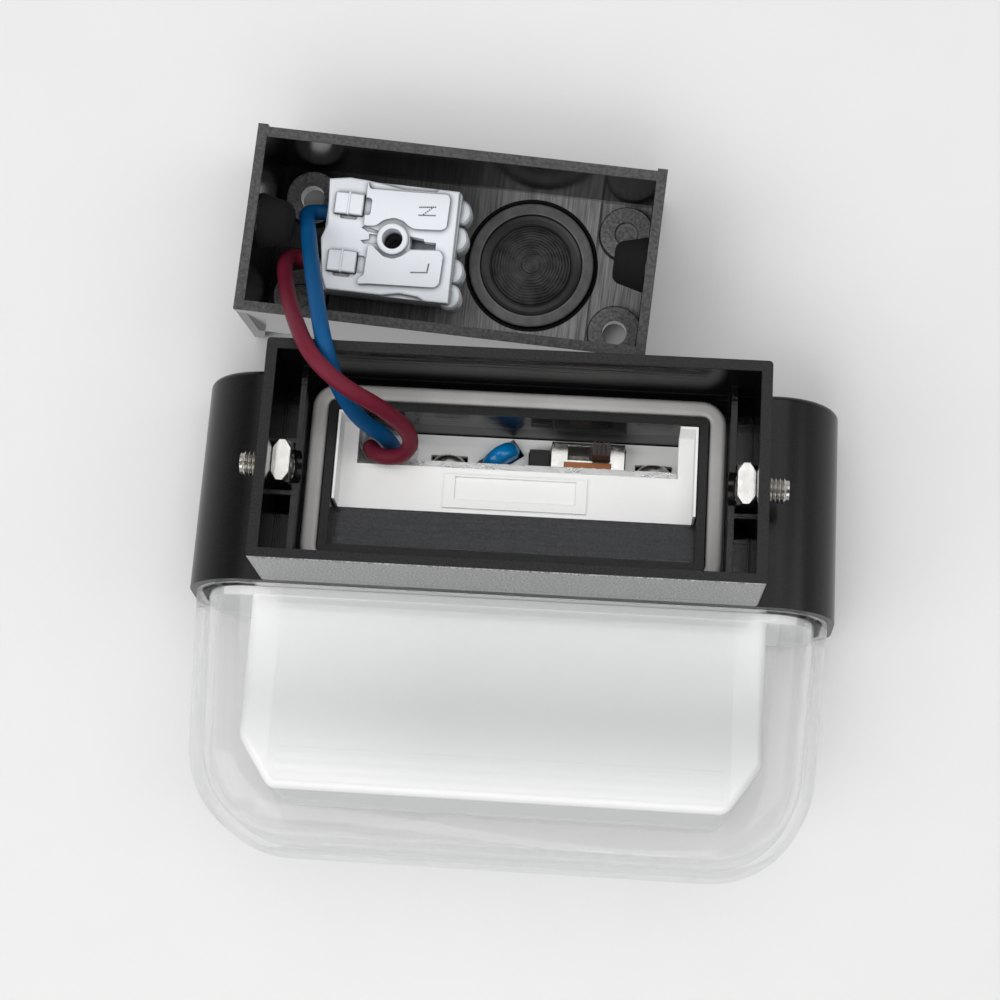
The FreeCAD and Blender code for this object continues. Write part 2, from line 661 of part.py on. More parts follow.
def clear_cover():
    shell = clear_body(0).cut(clear_body(CLEAR_WALL))
    root = SEAM_Y - SEAM_GAP - TONGUE_ROOT
    tip = SEAM_Y + TONGUE_HEIGHT
    tongue_inset = HOUSING_WALL + TONGUE_PLAY
    opening_inset = max(CLEAR_STEP + CLEAR_WALL, tongue_inset + TONGUE_WALL)
    tongue = lamp_body(tongue_inset, root, tip)
    opening = lamp_body(opening_inset, root - PAST, tip + PAST)
    return joined([shell, tongue.cut(opening)])


def diffuser_outline(inset, top, z):
    half = HOUSING_HALF_WIDTH - DIFFUSER_INSET - inset
    low = CLEAR_BOTTOM + DIFFUSER_LIFT + inset
    return [(-half, low + DIFFUSER_CHAMFER_Y, z), (-half + DIFFUSER_CHAMFER_X, low, z),
            (half - DIFFUSER_CHAMFER_X, low, z), (half, low + DIFFUSER_CHAMFER_Y, z),
            (half, top, z), (-half, top, z)]


def inner_diffuser():
    """Opal tray, open to the board, with a flange across the clear cover's mouth."""
    outer_inset = CLEAR_STEP + CLEAR_WALL + DIFFUSER_GAP
    inner_inset = outer_inset + DIFFUSER_WALL
    rear = REAR_Z - outer_inset
    top = SEAM_Y + TONGUE_HEIGHT
    deep = (0, 0, -FRONT_DEPTH * 2)
    outside = prism(diffuser_outline(0, top, rear), [DIFFUSER_CORNER] * 4 + [0, 0], deep)
    outside = outside.cut(behind_front(outer_inset))

    def side_rim(edge):
        level = edge.BoundBox.YLength < TOUCH and edge.CenterOfMass.y > SEAM_Y
        on_rear = both_ends(edge, lambda p: abs(p.z - rear) < TOUCH)
        return not level and (on_rear or both_ends(edge, on_front(outer_inset)))

    outside = outside.makeFillet(DIFFUSER_EDGE, edges_where(outside, side_rim))
    inside = prism(diffuser_outline(DIFFUSER_WALL, top + PAST, REAR_Z - inner_inset),
                   [DIFFUSER_CORNER - DIFFUSER_WALL] * 4 + [0, 0], deep)
    inside = inside.cut(behind_front(inner_inset))
    flange_top = SEAM_Y - DIFFUSER_FLANGE_DROP
    band = block(-FAR, FAR, flange_top - DIFFUSER_FLANGE_HEIGHT, flange_top, -FAR, REAR_Z)
    flange = band.common(clear_body(CLEAR_WALL + DIFFUSER_FLANGE_PLAY))
    return joined([outside, flange]).cut(inside)


# ---------------------------------------------------------------- white inner cover
def component_cutouts():
    """Room in the shelf for what stands on the board."""
    gap = PARTS_CLEARANCE
    low = BOARD_TOP - JOIN
    deep = SHELF_Z - SHELF_WALL - PAST
    high = SHELF_Z + PAST
    cuts = [block(SWITCH_LEFT - gap, SWITCH_LEFT + SWITCH_LENGTH + gap, low,
                  BOARD_TOP + SWITCH_HEIGHT + gap, deep, high)]
    for x in BOARD_SCREW_X:
        cuts.append(rod(BOARD_SCREW_HEAD / 2 + gap, (x, low, BOARD_SCREW_Z), (0, 1, 0),
                        BOARD_SCREW_HEAD_HEIGHT + gap + JOIN))
    width, height, _ = BRIDGE_SIZE
    cuts.append(block(BRIDGE_X - gap, BRIDGE_X + width + gap, low, BOARD_TOP + height + gap,
                      deep, high))
    across = VARISTOR_DIAMETER / 2 + gap
    thick = VARISTOR_THICKNESS / 2 + gap
    slot = block(-across, across, -thick, thick, deep - VARISTOR_Z, high - VARISTOR_Z)
    cuts.append(varistor_place(slot))
    return cuts


def inner_cover():
    half = OPENING_HALF_WIDTH - COVER_PLAY
    outer = CHAMBER_HALF_WIDTH + CHAMBER_WALL
    seat = COVER_BACK - CHAMBER_REAR_WALL
    lip_top = REAR_Z + FRAME_RISE - COVER_LIP_SINK
    pad = block(-half, half, COVER_LOW, COVER_SILL, COVER_BACK, COVER_Z)
    arm = joined([
        block(WINDOW_HALF_WIDTH, half, COVER_SILL - JOIN, COVER_TOP, COVER_BACK, COVER_Z),
        block(half - COVER_LIP, half, COVER_LOW, COVER_TOP, COVER_Z - JOIN, lip_top),
        block(WINDOW_HALF_WIDTH, half, COVER_TOP - COVER_LIP, COVER_TOP, COVER_Z - JOIN, lip_top)])
    rear = block(-outer, outer, CHAMBER_BOTTOM, BOARD_LOW, seat,
                 min(COVER_BACK, WELL_Z - WELL_WALL) - COVER_PLAY)
    bridge = block(-outer, outer, COVER_LOW + COVER_PLAY, COVER_SILL, seat, COVER_BACK + JOIN)
    side = block(CHAMBER_HALF_WIDTH, outer, CHAMBER_BOTTOM, COVER_TOP, CHAMBER_FRONT,
                 COVER_BACK - COVER_PLAY)
    side = side.fuse(block(CHAMBER_HALF_WIDTH, outer, COVER_LOW + COVER_PLAY, COVER_TOP, seat,
                           COVER_BACK + JOIN))
    front = block(-outer, outer, CHAMBER_BOTTOM, BOARD_LOW, CHAMBER_FRONT,
                  CHAMBER_FRONT + CHAMBER_WALL)
    reach = CHAMBER_HALF_WIDTH + JOIN
    shelf = block(-reach, reach, BOARD_TOP + SHELF_OVER_BOARD, COVER_TOP, SHELF_Z - SHELF_WALL,
                  SHELF_Z)
    left_shelf = block(-reach, BOARD_NOTCH_X - BOARD_HALF_LENGTH - NOTCH_PLAY, BOARD_LOW,
                       BOARD_TOP + SHELF_OVER_BOARD + JOIN, SHELF_Z - SHELF_WALL, SHELF_Z)
    label = block(-LABEL_WIDTH / 2, LABEL_WIDTH / 2, LABEL_LOW, LABEL_HIGH, COVER_Z - JOIN,
                  COVER_Z + LABEL_RISE)
    inside = LABEL_WIDTH / 2 - LABEL_SIDE_BORDER
    cuts = [block(-inside, inside, LABEL_LOW + LABEL_LOW_BORDER, LABEL_HIGH - LABEL_HIGH_BORDER,
                  COVER_Z, COVER_Z + LABEL_RISE + PAST)]
    pieces = [pad, arm, mirrored(arm), rear, bridge, side, mirrored(side), front, shelf,
              left_shelf, label]
    for x in BOARD_SCREW_X:
        foot = (x, COVER_LOW, BOARD_SCREW_Z)
        pieces.append(rod(SCREW_BOSS / 2, foot, (0, 1, 0), BOARD_LOW - COVER_LOW))
        pieces.append(block(x - SHELF_WALL / 2, x + SHELF_WALL / 2, COVER_LOW, BOARD_LOW,
                            BOARD_SCREW_Z, seat + JOIN))
        cuts.append(rod(BOARD_SCREW_SHANK / 2 + BOARD_SCREW_PLAY,
                        (x, COVER_LOW - PAST, BOARD_SCREW_Z), (0, 1, 0),
                        BOARD_TOP - COVER_LOW + PAST))
    whole = joined(pieces)
    for tool in component_cutouts() + cuts:
        whole = whole.cut(tool)
    return whole


# ---------------------------------------------------------------- board and components
def led_board():
    plate = block(-BOARD_HALF_LENGTH, BOARD_HALF_LENGTH, BOARD_LOW, BOARD_TOP, BOARD_FRONT,
                  BOARD_REAR)
    notch = block(-BOARD_HALF_LENGTH - PAST, BOARD_NOTCH_X - BOARD_HALF_LENGTH, BOARD_LOW - PAST,
                  BOARD_TOP + PAST, BOARD_REAR - BOARD_NOTCH_Z, BOARD_REAR + PAST)
    plate = plate.cut(notch)
    for x in BOARD_SCREW_X:
        plate = plate.cut(rod(BOARD_SCREW_SHANK / 2 + BOARD_SCREW_PLAY,
                              (x, BOARD_LOW - PAST, BOARD_SCREW_Z), (0, 1, 0),
                              BOARD_THICKNESS + 2 * PAST))
    return plate


def led_row():
    count = int(2 * (BOARD_HALF_LENGTH - LED_END) / LED_PITCH) + 1
    middle = BOARD_FRONT + LED_ROW_AT
    leds = []
    for index in range(count):
        x = (index - (count - 1) / 2) * LED_PITCH
        leds.append(block(x - LED_LENGTH / 2, x + LED_LENGTH / 2, BOARD_LOW - LED_HEIGHT, BOARD_LOW,
                          middle - LED_WIDTH / 2, middle + LED_WIDTH / 2))
    return Part.makeCompound(leds)


def board_screws():
    top = BOARD_TOP + BOARD_SCREW_HEAD_HEIGHT
    screws = []
    for x in BOARD_SCREW_X:
        place = (x, BOARD_TOP, BOARD_SCREW_Z)
        head = rod(BOARD_SCREW_HEAD / 2, place, (0, 1, 0), BOARD_SCREW_HEAD_HEIGHT)
        crown = edges_where(head, lambda e: both_ends(e, lambda p: p.y > top - TOUCH))
        head = head.makeFillet(BOARD_SCREW_CROWN, crown)
        for across_x, across_z in ((CROSS_LENGTH, CROSS_WIDTH), (CROSS_WIDTH, CROSS_LENGTH)):
            head = head.cut(block(x - across_x / 2, x + across_x / 2, top - CROSS_DEPTH, top + PAST,
                                  BOARD_SCREW_Z - across_z / 2, BOARD_SCREW_Z + across_z / 2))
        shank = rod(BOARD_SCREW_SHANK / 2, place, (0, -1, 0), BOARD_SCREW_LENGTH)
        screws.append(joined([head, shank]))
    return Part.makeCompound(screws)


def varistor_place(shape):
    """Leans what is drawn round the origin and sets it on the board on its rounded rim."""
    lean = math.radians(VARISTOR_LEAN)
    lift = VARISTOR_EDGE + (VARISTOR_DIAMETER / 2 - VARISTOR_EDGE) * math.sin(lean)
    lift += (VARISTOR_THICKNESS / 2 - VARISTOR_EDGE) * math.cos(lean)
    shape.rotate(FreeCAD.Vector(0, 0, 0), FreeCAD.Vector(0, 0, 1), VARISTOR_LEAN)
    shape.translate(FreeCAD.Vector(VARISTOR_X, BOARD_TOP + lift, VARISTOR_Z))
    return shape


def varistor():
    """Coated disc that leans over the board."""
    disc = rod(VARISTOR_DIAMETER / 2, (0, -VARISTOR_THICKNESS / 2, 0), (0, 1, 0),
               VARISTOR_THICKNESS)
    rims = edges_where(disc, lambda e: e.Closed)
    return varistor_place(disc.makeFillet(VARISTOR_EDGE, rims))


def bridge_rectifier():
    width, height, length = BRIDGE_SIZE
    front = BOARD_FRONT + BRIDGE_AT
    return block(BRIDGE_X, BRIDGE_X + width, BOARD_TOP, BOARD_TOP + height, front, front + length)


def driver_chips():
    length, height, width = CHIP_SIZE
    front = BOARD_FRONT + CHIP_AT
    return Part.makeCompound([block(x - length / 2, x + length / 2, BOARD_TOP, BOARD_TOP + height,
                                    front, front + width) for x in CHIP_X])


# ---------------------------------------------------------------- slide switch
def switch_shell():
    low = BOARD_TOP + SWITCH_BASE_HEIGHT
    high = BOARD_TOP + SWITCH_HEIGHT
    right = SWITCH_LEFT + SWITCH_LENGTH
    back = SWITCH_Z - SWITCH_BODY_DEPTH
    wall = SWITCH_SHELL_WALL
    can = block(SWITCH_LEFT, right, low, high, back, SWITCH_Z)
    can = can.cut(block(SWITCH_LEFT + wall, right - wall, low - PAST, high - wall, back + wall,
                        SWITCH_Z - wall))
    ears = [block(x, x + SWITCH_EAR, BOARD_TOP, low + JOIN, SWITCH_Z - wall, SWITCH_Z)
            for x in (SWITCH_LEFT, right - SWITCH_EAR)]
    slot_x = SWITCH_LEFT + SWITCH_SLOT_LEFT
    slot = block(slot_x, slot_x + SWITCH_SLOT, BOARD_TOP + SWITCH_SLOT_LOW,
                 BOARD_TOP + SWITCH_SLOT_HIGH, SWITCH_Z - PAST, SWITCH_Z + PAST)
    return joined([can] + ears).cut(slot)


def switch_base():
    right = SWITCH_LEFT + SWITCH_LENGTH
    top = BOARD_TOP + SWITCH_BASE_HEIGHT
    back = SWITCH_Z - SWITCH_BODY_DEPTH
    ear = SWITCH_EAR + SWITCH_PLAY
    wall = SWITCH_SHELL_WALL + SWITCH_PLAY
    foot = block(SWITCH_LEFT + ear, right - ear, BOARD_TOP, top, back, SWITCH_Z - SWITCH_PLAY)
    body = block(SWITCH_LEFT + wall, right - wall, top - JOIN, top + SWITCH_BASE_STEP, back + wall,
                 SWITCH_Z - wall)
    return joined([foot, body])


def switch_pins():
    pins = []
    first = SWITCH_LEFT + SWITCH_LENGTH / 2 - (PIN_COUNT - 1) * PIN_PITCH / 2
    middle = BOARD_TOP + PIN_HEIGHT
    for index in range(PIN_COUNT):
        x = first + index * PIN_PITCH
        pins.append(block(x - PIN_SIZE / 2, x + PIN_SIZE / 2, middle - PIN_SIZE / 2,
                          middle + PIN_SIZE / 2, SWITCH_Z - SWITCH_PLAY, SWITCH_Z + PIN_PROUD))
    return Part.makeCompound(pins)


def switch_knob():
    right = SWITCH_LEFT + SWITCH_SLOT_LEFT + SWITCH_SLOT - KNOB_PLAY
    left = right - KNOB_WIDTH
    low = BOARD_TOP + SWITCH_SLOT_LOW + KNOB_PLAY
    high = low + KNOB_HEIGHT
    tip = SWITCH_Z + KNOB_PROUD
    inner = SWITCH_Z - SWITCH_SHELL_WALL - KNOB_PLAY
    stem = block(left, right, low, high, inner - KNOB_STEM, tip)
    carriage = block(left - KNOB_SHOULDER, right + KNOB_SHOULDER, low - KNOB_CARRIAGE_PLAY,
                     high + KNOB_CARRIAGE_PLAY, inner - KNOB_STEM, inner)
    knob = joined([stem, carriage])
    half = KNOB_GROOVE_WIDTH / 2
    for index in range(KNOB_GROOVES):
        x = left + KNOB_WIDTH * (index + 1) / (KNOB_GROOVES + 1)
        knob = knob.cut(block(x - half, x + half, high - KNOB_GROOVE_DEPTH, high + PAST,
                              SWITCH_Z + KNOB_GROOVE_DEPTH, tip + PAST))
        knob = knob.cut(block(x - half, x + half, low - PAST, high + PAST,
                              tip - KNOB_GROOVE_DEPTH, tip + PAST))
    return knob


# ---------------------------------------------------------------- cable ring, nuts and screws
def cable_ring():
    x = RING_END_GAP - BOARD_HALF_LENGTH
    y = BOARD_TOP + RING_LIFT
    length = RING_LENGTH / 2
    height = RING_HEIGHT / 2
    top = SHELF_Z + RING_PROUD
    outer = rounded_block(x - length, x + length, y - height, y + height, SHELF_Z, top,
                          height - TOUCH)
    length -= RING_WALL
    height -= RING_WALL
    inner = rounded_block(x - length, x + length, y - height, y + height, SHELF_Z - PAST,
                          top + PAST, height - TOUCH)
    return outer.cut(inner)


def square_nut():
    """Right-hand nut; its bore runs along x and its corners are chamfered on both faces."""
    left = (RIB_OUTER + COLLAR_INSIDE - NUT_THICKNESS) / 2
    half = NUT_SIZE / 2
    reach = half * math.sqrt(2) + TOUCH
    crown = reach - NUT_CHAMFER / math.tan(math.radians(NUT_CHAMFER_ANGLE))
    right = left + NUT_THICKNESS
    profile = [(left, 0), (left, crown), (left + NUT_CHAMFER, reach), (right - NUT_CHAMFER, reach),
               (right, crown), (right, 0)]
    points = [FreeCAD.Vector(x, SCREW_Y + r, SCREW_Z) for x, r in profile]
    turned = Part.Face(Part.makePolygon(points + points[:1])).revolve(
        FreeCAD.Vector(0, SCREW_Y, SCREW_Z), FreeCAD.Vector(1, 0, 0), 360)
    nut = block(left, right, SCREW_Y - half, SCREW_Y + half, SCREW_Z - half, SCREW_Z + half)
    bore = rod(SCREW_DIAMETER / 2 + SCREW_RADIAL_PLAY, (left - PAST, SCREW_Y, SCREW_Z), (1, 0, 0),
               NUT_THICKNESS + 2 * PAST)
    return nut.common(turned).cut(bore)


def grub_screw():
    """Right-hand screw with ring grooves for its thread, a hexagon socket and a cone tip."""
    outer = COLLAR_HALF + SCREW_PROUD
    radius = SCREW_DIAMETER / 2
    core = SCREW_CORE / 2
    tip = outer - SCREW_LENGTH
    profile = [(tip, 0), (tip, core - SCREW_TIP_TAPER)]
    turns = int((SCREW_LENGTH - 2 * SCREW_PLAIN) / SCREW_PITCH)
    for index in range(turns):
        x = tip + SCREW_PLAIN + index * SCREW_PITCH
        profile += [(x, core), (x + SCREW_FLANK, radius), (x + SCREW_FLANK + SCREW_CREST, radius)]
    profile += [(tip + SCREW_PLAIN + turns * SCREW_PITCH, core), (outer, core), (outer, 0)]
    points = [FreeCAD.Vector(px, SCREW_Y + py, SCREW_Z) for px, py in profile]
    face = Part.Face(Part.makePolygon(points + points[:1]))
    screw = face.revolve(FreeCAD.Vector(0, SCREW_Y, SCREW_Z), FreeCAD.Vector(1, 0, 0), 360)
    across = SCREW_SOCKET / math.sqrt(3)
    hexagon = [(outer - SOCKET_DEPTH, SCREW_Y + across * math.cos(math.radians(60 * k)),
                SCREW_Z + across * math.sin(math.radians(60 * k))) for k in range(6)]
    return screw.cut(prism(hexagon, [0] * 6, (SOCKET_DEPTH + PAST, 0, 0)))


# ---------------------------------------------------------------- wall box
def hole_places():
    """The four holes; two of them are open."""
    for sign_x in (-1, 1):
        for sign_y in (-1, 1):
            yield (HOLE_CENTRE[0] + sign_x * HOLE_HALF_X, HOLE_CENTRE[1] + sign_y * HOLE_HALF_Y,
                   sign_x * sign_y < 0)


def clamp_socket():
    """Domed cone on the right wall that takes the clamp screw's tip."""
    wall = BOX_WIDTH / 2
    start = wall - BOX_WALL + JOIN
    socket = cone(SOCKET_RADIUS, SOCKET_TIP_RADIUS,
                  (start, SOCKET_Y, BOX_DEPTH - SOCKET_RIM_DEPTH), (-1, 0, 0), SOCKET_LENGTH)
    end = start - SOCKET_LENGTH
    tip = edges_where(socket, lambda e: both_ends(e, lambda p: p.x < end + TOUCH))
    return socket.makeFillet(SOCKET_TIP_FILLET, tip)


def clamp_bore():
    return cone(SOCKET_BORE, SOCKET_BORE_TIP,
                (BOX_WIDTH / 2, SOCKET_Y, BOX_DEPTH - SOCKET_RIM_DEPTH), (-1, 0, 0),
                SOCKET_BORE_DEPTH)


def back_box():
    half_x = BOX_WIDTH / 2
    half_y = BOX_HEIGHT / 2
    inside_x = half_x - BOX_WALL
    low_y = -half_y + BOX_WALL
    high_y = half_y - BOX_WALL - BOX_TOP_STEP
    outer = block(-half_x, half_x, -half_y, half_y, 0, BOX_DEPTH)
    inner = block(-inside_x, inside_x, low_y, high_y, BOX_FLOOR, BOX_DEPTH + PAST)
    step = block(-inside_x, inside_x, half_y - BOX_TOP_STEP, half_y + PAST, -PAST,
                 BOX_DEPTH + PAST)
    sunk = BOX_FLOOR - JOIN
    pieces = [outer.cut(inner).cut(step)]
    pieces.append(block(HOLE_CENTRE[0] - FLOOR_STEP_X, HOLE_CENTRE[0] + FLOOR_STEP_X, low_y - JOIN,
                        high_y + JOIN, sunk, BOX_FLOOR_HIGH))
    boss_top = BOX_FLOOR_HIGH + HOLE_BOSS_RISE
    cuts = []
    for x, y, is_open in hole_places():
        pieces.append(rod(HOLE_BOSS_RADIUS, (x, y, sunk), (0, 0, 1), boss_top - sunk))
        skin_top = boss_top - KNOCKOUT_SINK
        if is_open:
            cuts.append(rod(HOLE_RADIUS, (x, y, -PAST), (0, 0, 1), boss_top + 2 * PAST))
        else:
            cuts.append(rod(HOLE_RADIUS, (x, y, -PAST), (0, 0, 1), PAST + skin_top - KNOCKOUT_SKIN))
            cuts.append(rod(HOLE_RADIUS, (x, y, skin_top), (0, 0, 1), KNOCKOUT_SINK + PAST))
    socket = clamp_socket()
    pieces += [socket, mirrored(socket)]
    bore = clamp_bore()
    cuts += [bore, mirrored(bore)]
    for x in (-half_x, half_x - LOCATING_RIB_WIDTH):
        foot = -half_y + JOIN
        wedge = [(x, foot, BOX_DEPTH - PAST), (x, foot, PAST), (x, -half_y - LOCATING_RIB, PAST)]
        pieces.append(prism(wedge, [0] * 3, (LOCATING_RIB_WIDTH, 0, 0)))
    pieces.append(rod(POST_RADIUS, (EYE_X, BLOCK_Y, sunk), (0, 0, 1), BLOCK_TOP - POST_SINK - sunk))
    cuts.append(rod(GROMMET_HOLE, (GROMMET_X, GROMMET_Y, -PAST), (0, 0, 1), BOX_FLOOR + 2 * PAST))
    cuts.append(rod(GROMMET_FLANGE + GROMMET_SEAT_PLAY, (GROMMET_X, GROMMET_Y, BOX_FLOOR),
                    (0, 0, 1), BOX_FLOOR_STEP + PAST))
    whole = joined(pieces)
    for tool in cuts:
        whole = whole.cut(tool)
    return whole


def cable_grommet():
    """Rubber entry: a plug in the floor hole, a flange with a lip and a soft domed skin."""
    top = BOX_FLOOR + GROMMET_RISE
    dome = top + GROMMET_DOME_RISE
    dip = top - GROMMET_DIP
    plug = GROMMET_HOLE - GROMMET_PLAY
    tube = plug - GROMMET_TUBE
    skin_low = BOX_FLOOR - GROMMET_SKIN + GROMMET_FOOT
    profile = [(0, GROMMET_FOOT), (tube - GROMMET_SKIN, GROMMET_FOOT),
               (tube - GROMMET_SKIN, skin_low), (tube, skin_low), (tube, 0), (plug, 0),
               (plug, BOX_FLOOR), (GROMMET_FLANGE, BOX_FLOOR),
               (GROMMET_FLANGE, top - GROMMET_FLANGE_EDGE), (GROMMET_FLANGE - GROMMET_FLANGE_EDGE, top),
               (GROMMET_LIP + GROMMET_FLANGE_EDGE, top), (GROMMET_LIP, dip + GROMMET_FOOT),
               (GROMMET_DOME, dip), (GROMMET_DOME * GROMMET_DOME_SHARE, (top + dome) / 2),
               (GROMMET_DOT, dome), (GROMMET_DOT - GROMMET_DOT_SINK, dome - GROMMET_DOT_SINK),
               (0, dome - GROMMET_DOT_SINK)]
    points = [FreeCAD.Vector(GROMMET_X + r, GROMMET_Y, z) for r, z in profile]
    face = Part.Face(Part.makePolygon(points + points[:1]))
    return face.revolve(FreeCAD.Vector(GROMMET_X, GROMMET_Y, 0), FreeCAD.Vector(0, 0, 1), 360)


# ---------------------------------------------------------------- terminal block
def lever_pocket(y, play):
    left = BLOCK_LEFT + LEVER_INSET
    return (left - play, left + LEVER_LENGTH + play, y - LEVER_WIDTH / 2 - play,
            y + LEVER_WIDTH / 2 + play)


def contact_pocket(y, play):
    left = BLOCK_LEFT + LEVER_INSET + LEVER_LENGTH + CONTACT_GAP
    return (left - play, left + CONTACT_LENGTH + play, y - CONTACT_WIDTH / 2 - play,
            y + CONTACT_WIDTH / 2 + play, BOX_FLOOR_HIGH, FUNNEL_HEIGHT + play)


def terminal_body():
    half = BLOCK_WIDTH / 2
    waist = half - BLOCK_UNDERCUT
    shoulder = BOX_FLOOR_HIGH + BLOCK_UNDERCUT_HEIGHT
    pieces = [
        block(BLOCK_LEFT + BLOCK_FOOT_INSET, BLOCK_RIGHT - BLOCK_FOOT_INSET, BLOCK_Y - waist,
              BLOCK_Y + waist, BOX_FLOOR_HIGH, shoulder + JOIN),
        rounded_block(BLOCK_LEFT, BLOCK_RIGHT, BLOCK_Y - half, BLOCK_Y + half, shoulder, BLOCK_TOP,
                      BLOCK_CORNER),
        rod(BLOCK_EYE_OUTER, (EYE_X, BLOCK_Y, BLOCK_TOP - JOIN), (0, 0, 1), JOIN + BLOCK_EYE_RISE)]
    slot_x = EYE_X + BLOCK_EYE_OUTER + BLOCK_SLOT_GAP
    over = BLOCK_TOP + PLATEAU_RISE + PAST
    cuts = [rod(BLOCK_EYE_INNER, (EYE_X, BLOCK_Y, BOX_FLOOR), (0, 0, 1), BLOCK_TOP),
            block(slot_x, slot_x + BLOCK_SLOT_LENGTH, BLOCK_Y - BLOCK_SLOT_WIDTH / 2,
                  BLOCK_Y + BLOCK_SLOT_WIDTH / 2, BLOCK_TOP - BLOCK_SLOT_DEPTH, over)]
    for y in PLATEAU_Y:
        pieces.append(rounded_block(BLOCK_LEFT + PLATEAU_START, BLOCK_RIGHT - PLATEAU_END,
                                    y - PLATEAU_WIDTH / 2, y + PLATEAU_WIDTH / 2,
                                    BLOCK_TOP - JOIN, BLOCK_TOP + PLATEAU_RISE, PLATEAU_CORNER))
    mouth = BLOCK_RIGHT + FUNNEL_LENGTH
    for y in FUNNEL_Y:
        pieces.append(rod(FUNNEL_RADIUS, (BLOCK_RIGHT - BLOCK_FOOT_INSET - JOIN, y, FUNNEL_HEIGHT),
                          (1, 0, 0), FUNNEL_LENGTH + BLOCK_FOOT_INSET + JOIN))
        cuts.append(rod(FUNNEL_BORE, (mouth + PAST, y, FUNNEL_HEIGHT), (-1, 0, 0),
                        FUNNEL_BORE_DEPTH + PAST))
        cuts.append(cone(FUNNEL_MOUTH, FUNNEL_BORE, (mouth, y, FUNNEL_HEIGHT), (-1, 0, 0),
                         FUNNEL_MOUTH_DEPTH))
    for y in LEVER_Y:
        x0, x1, y0, y1 = lever_pocket(y, LEVER_PLAY)
        cuts.append(block(x0, x1, y0, y1, BLOCK_TOP - LEVER_DEEP - LEVER_TRAVEL - LEVER_PLAY, over))
        x0, x1, y0, y1, z0, z1 = contact_pocket(y, CONTACT_PLAY)
        cuts.append(block(x0, x1, y0, y1, z0 - PAST, z1))
    for y in WIRE_PORT_Y:
        cuts.append(rod(WIRE_PORT, (BLOCK_LEFT - PAST, y, WIRE_PORT_HEIGHT), (1, 0, 0),
                        WIRE_PORT_DEPTH + PAST))
    whole = joined(pieces)
    for tool in cuts:
        whole = whole.cut(tool)
    return whole


def terminal_lever(y):
    """Push lever with a grooved top, in its pocket over the wire port."""
    x0, x1, y0, y1 = lever_pocket(y, 0)
    top = BLOCK_TOP + LEVER_PROUD
    lever = block(x0, x1, y0, y1, BLOCK_TOP - LEVER_DEEP, top)
    rim = edges_where(lever, lambda e: both_ends(e, lambda p: p.z > top - TOUCH))
    groove = x0 + LEVER_GROOVE_AT
    return lever.makeFillet(LEVER_EDGE, rim).cut(block(
        groove, groove + LEVER_GROOVE_WIDTH, y0 - PAST, y1 + PAST, top - LEVER_GROOVE_DEPTH,
        top + PAST))


def terminal_contacts():
    bars = []
    for y in LEVER_Y:
        x0, x1, y0, y1, z0, _ = contact_pocket(y, 0)
        bars.append(block(x0, x1, y0, y1, z0, z0 + CONTACT_HEIGHT))
    return Part.makeCompound(bars)


# ---------------------------------------------------------------- wires
def wire(points):
    """Round wire along straight runs joined by the largest arcs that the runs allow."""
    radii = [0.0]
    for index in range(1, len(points) - 1):
        before = FreeCAD.Vector(*points[index - 1])
        here = FreeCAD.Vector(*points[index])
        after = FreeCAD.Vector(*points[index + 1])
        turn = (here - before).getAngle(after - here)
        shorter = min((here - before).Length, (after - here).Length)
        radii.append(ARC_SHARE * shorter / math.tan(turn / 2))
    radii.append(0.0)
    path = rounded_path(points, radii, closed=False)
    start = FreeCAD.Vector(*points[0])
    heading = FreeCAD.Vector(*points[1]) - start
    section = Part.Wire(Part.makeCircle(WIRE_DIAMETER / 2, start, heading))
    tube = path.makePipeShell([section], True, False)
    expected = math.pi * (WIRE_DIAMETER / 2) ** 2 * path.Length
    print("wire radii", [round(r, 1) for r in radii[1:-1]], "length", round(path.Length, 1),
          "volume", round(tube.Volume), "of", round(expected))
    return tube


# ---------------------------------------------------------------- layout
def lay_lamp(shape):
    """From the lamp's frame to the surface: tilted until its front face lies flat."""
    placed = shape.copy()
    placed.rotate(FreeCAD.Vector(0, 0, 0), FreeCAD.Vector(1, 0, 0), -FRONT_SLANT)
    placed.translate(FreeCAD.Vector(0, 0, -front_z(0) * math.cos(SLOPE)))
    return placed


def lay_box(shape):
    placed = shape.copy()
    placed.rotate(FreeCAD.Vector(0, 0, 0), FreeCAD.Vector(0, 0, 1), BOX_YAW)
    placed.translate(FreeCAD.Vector(BOX_AT[0], BOX_AT[1], 0))
    return placed


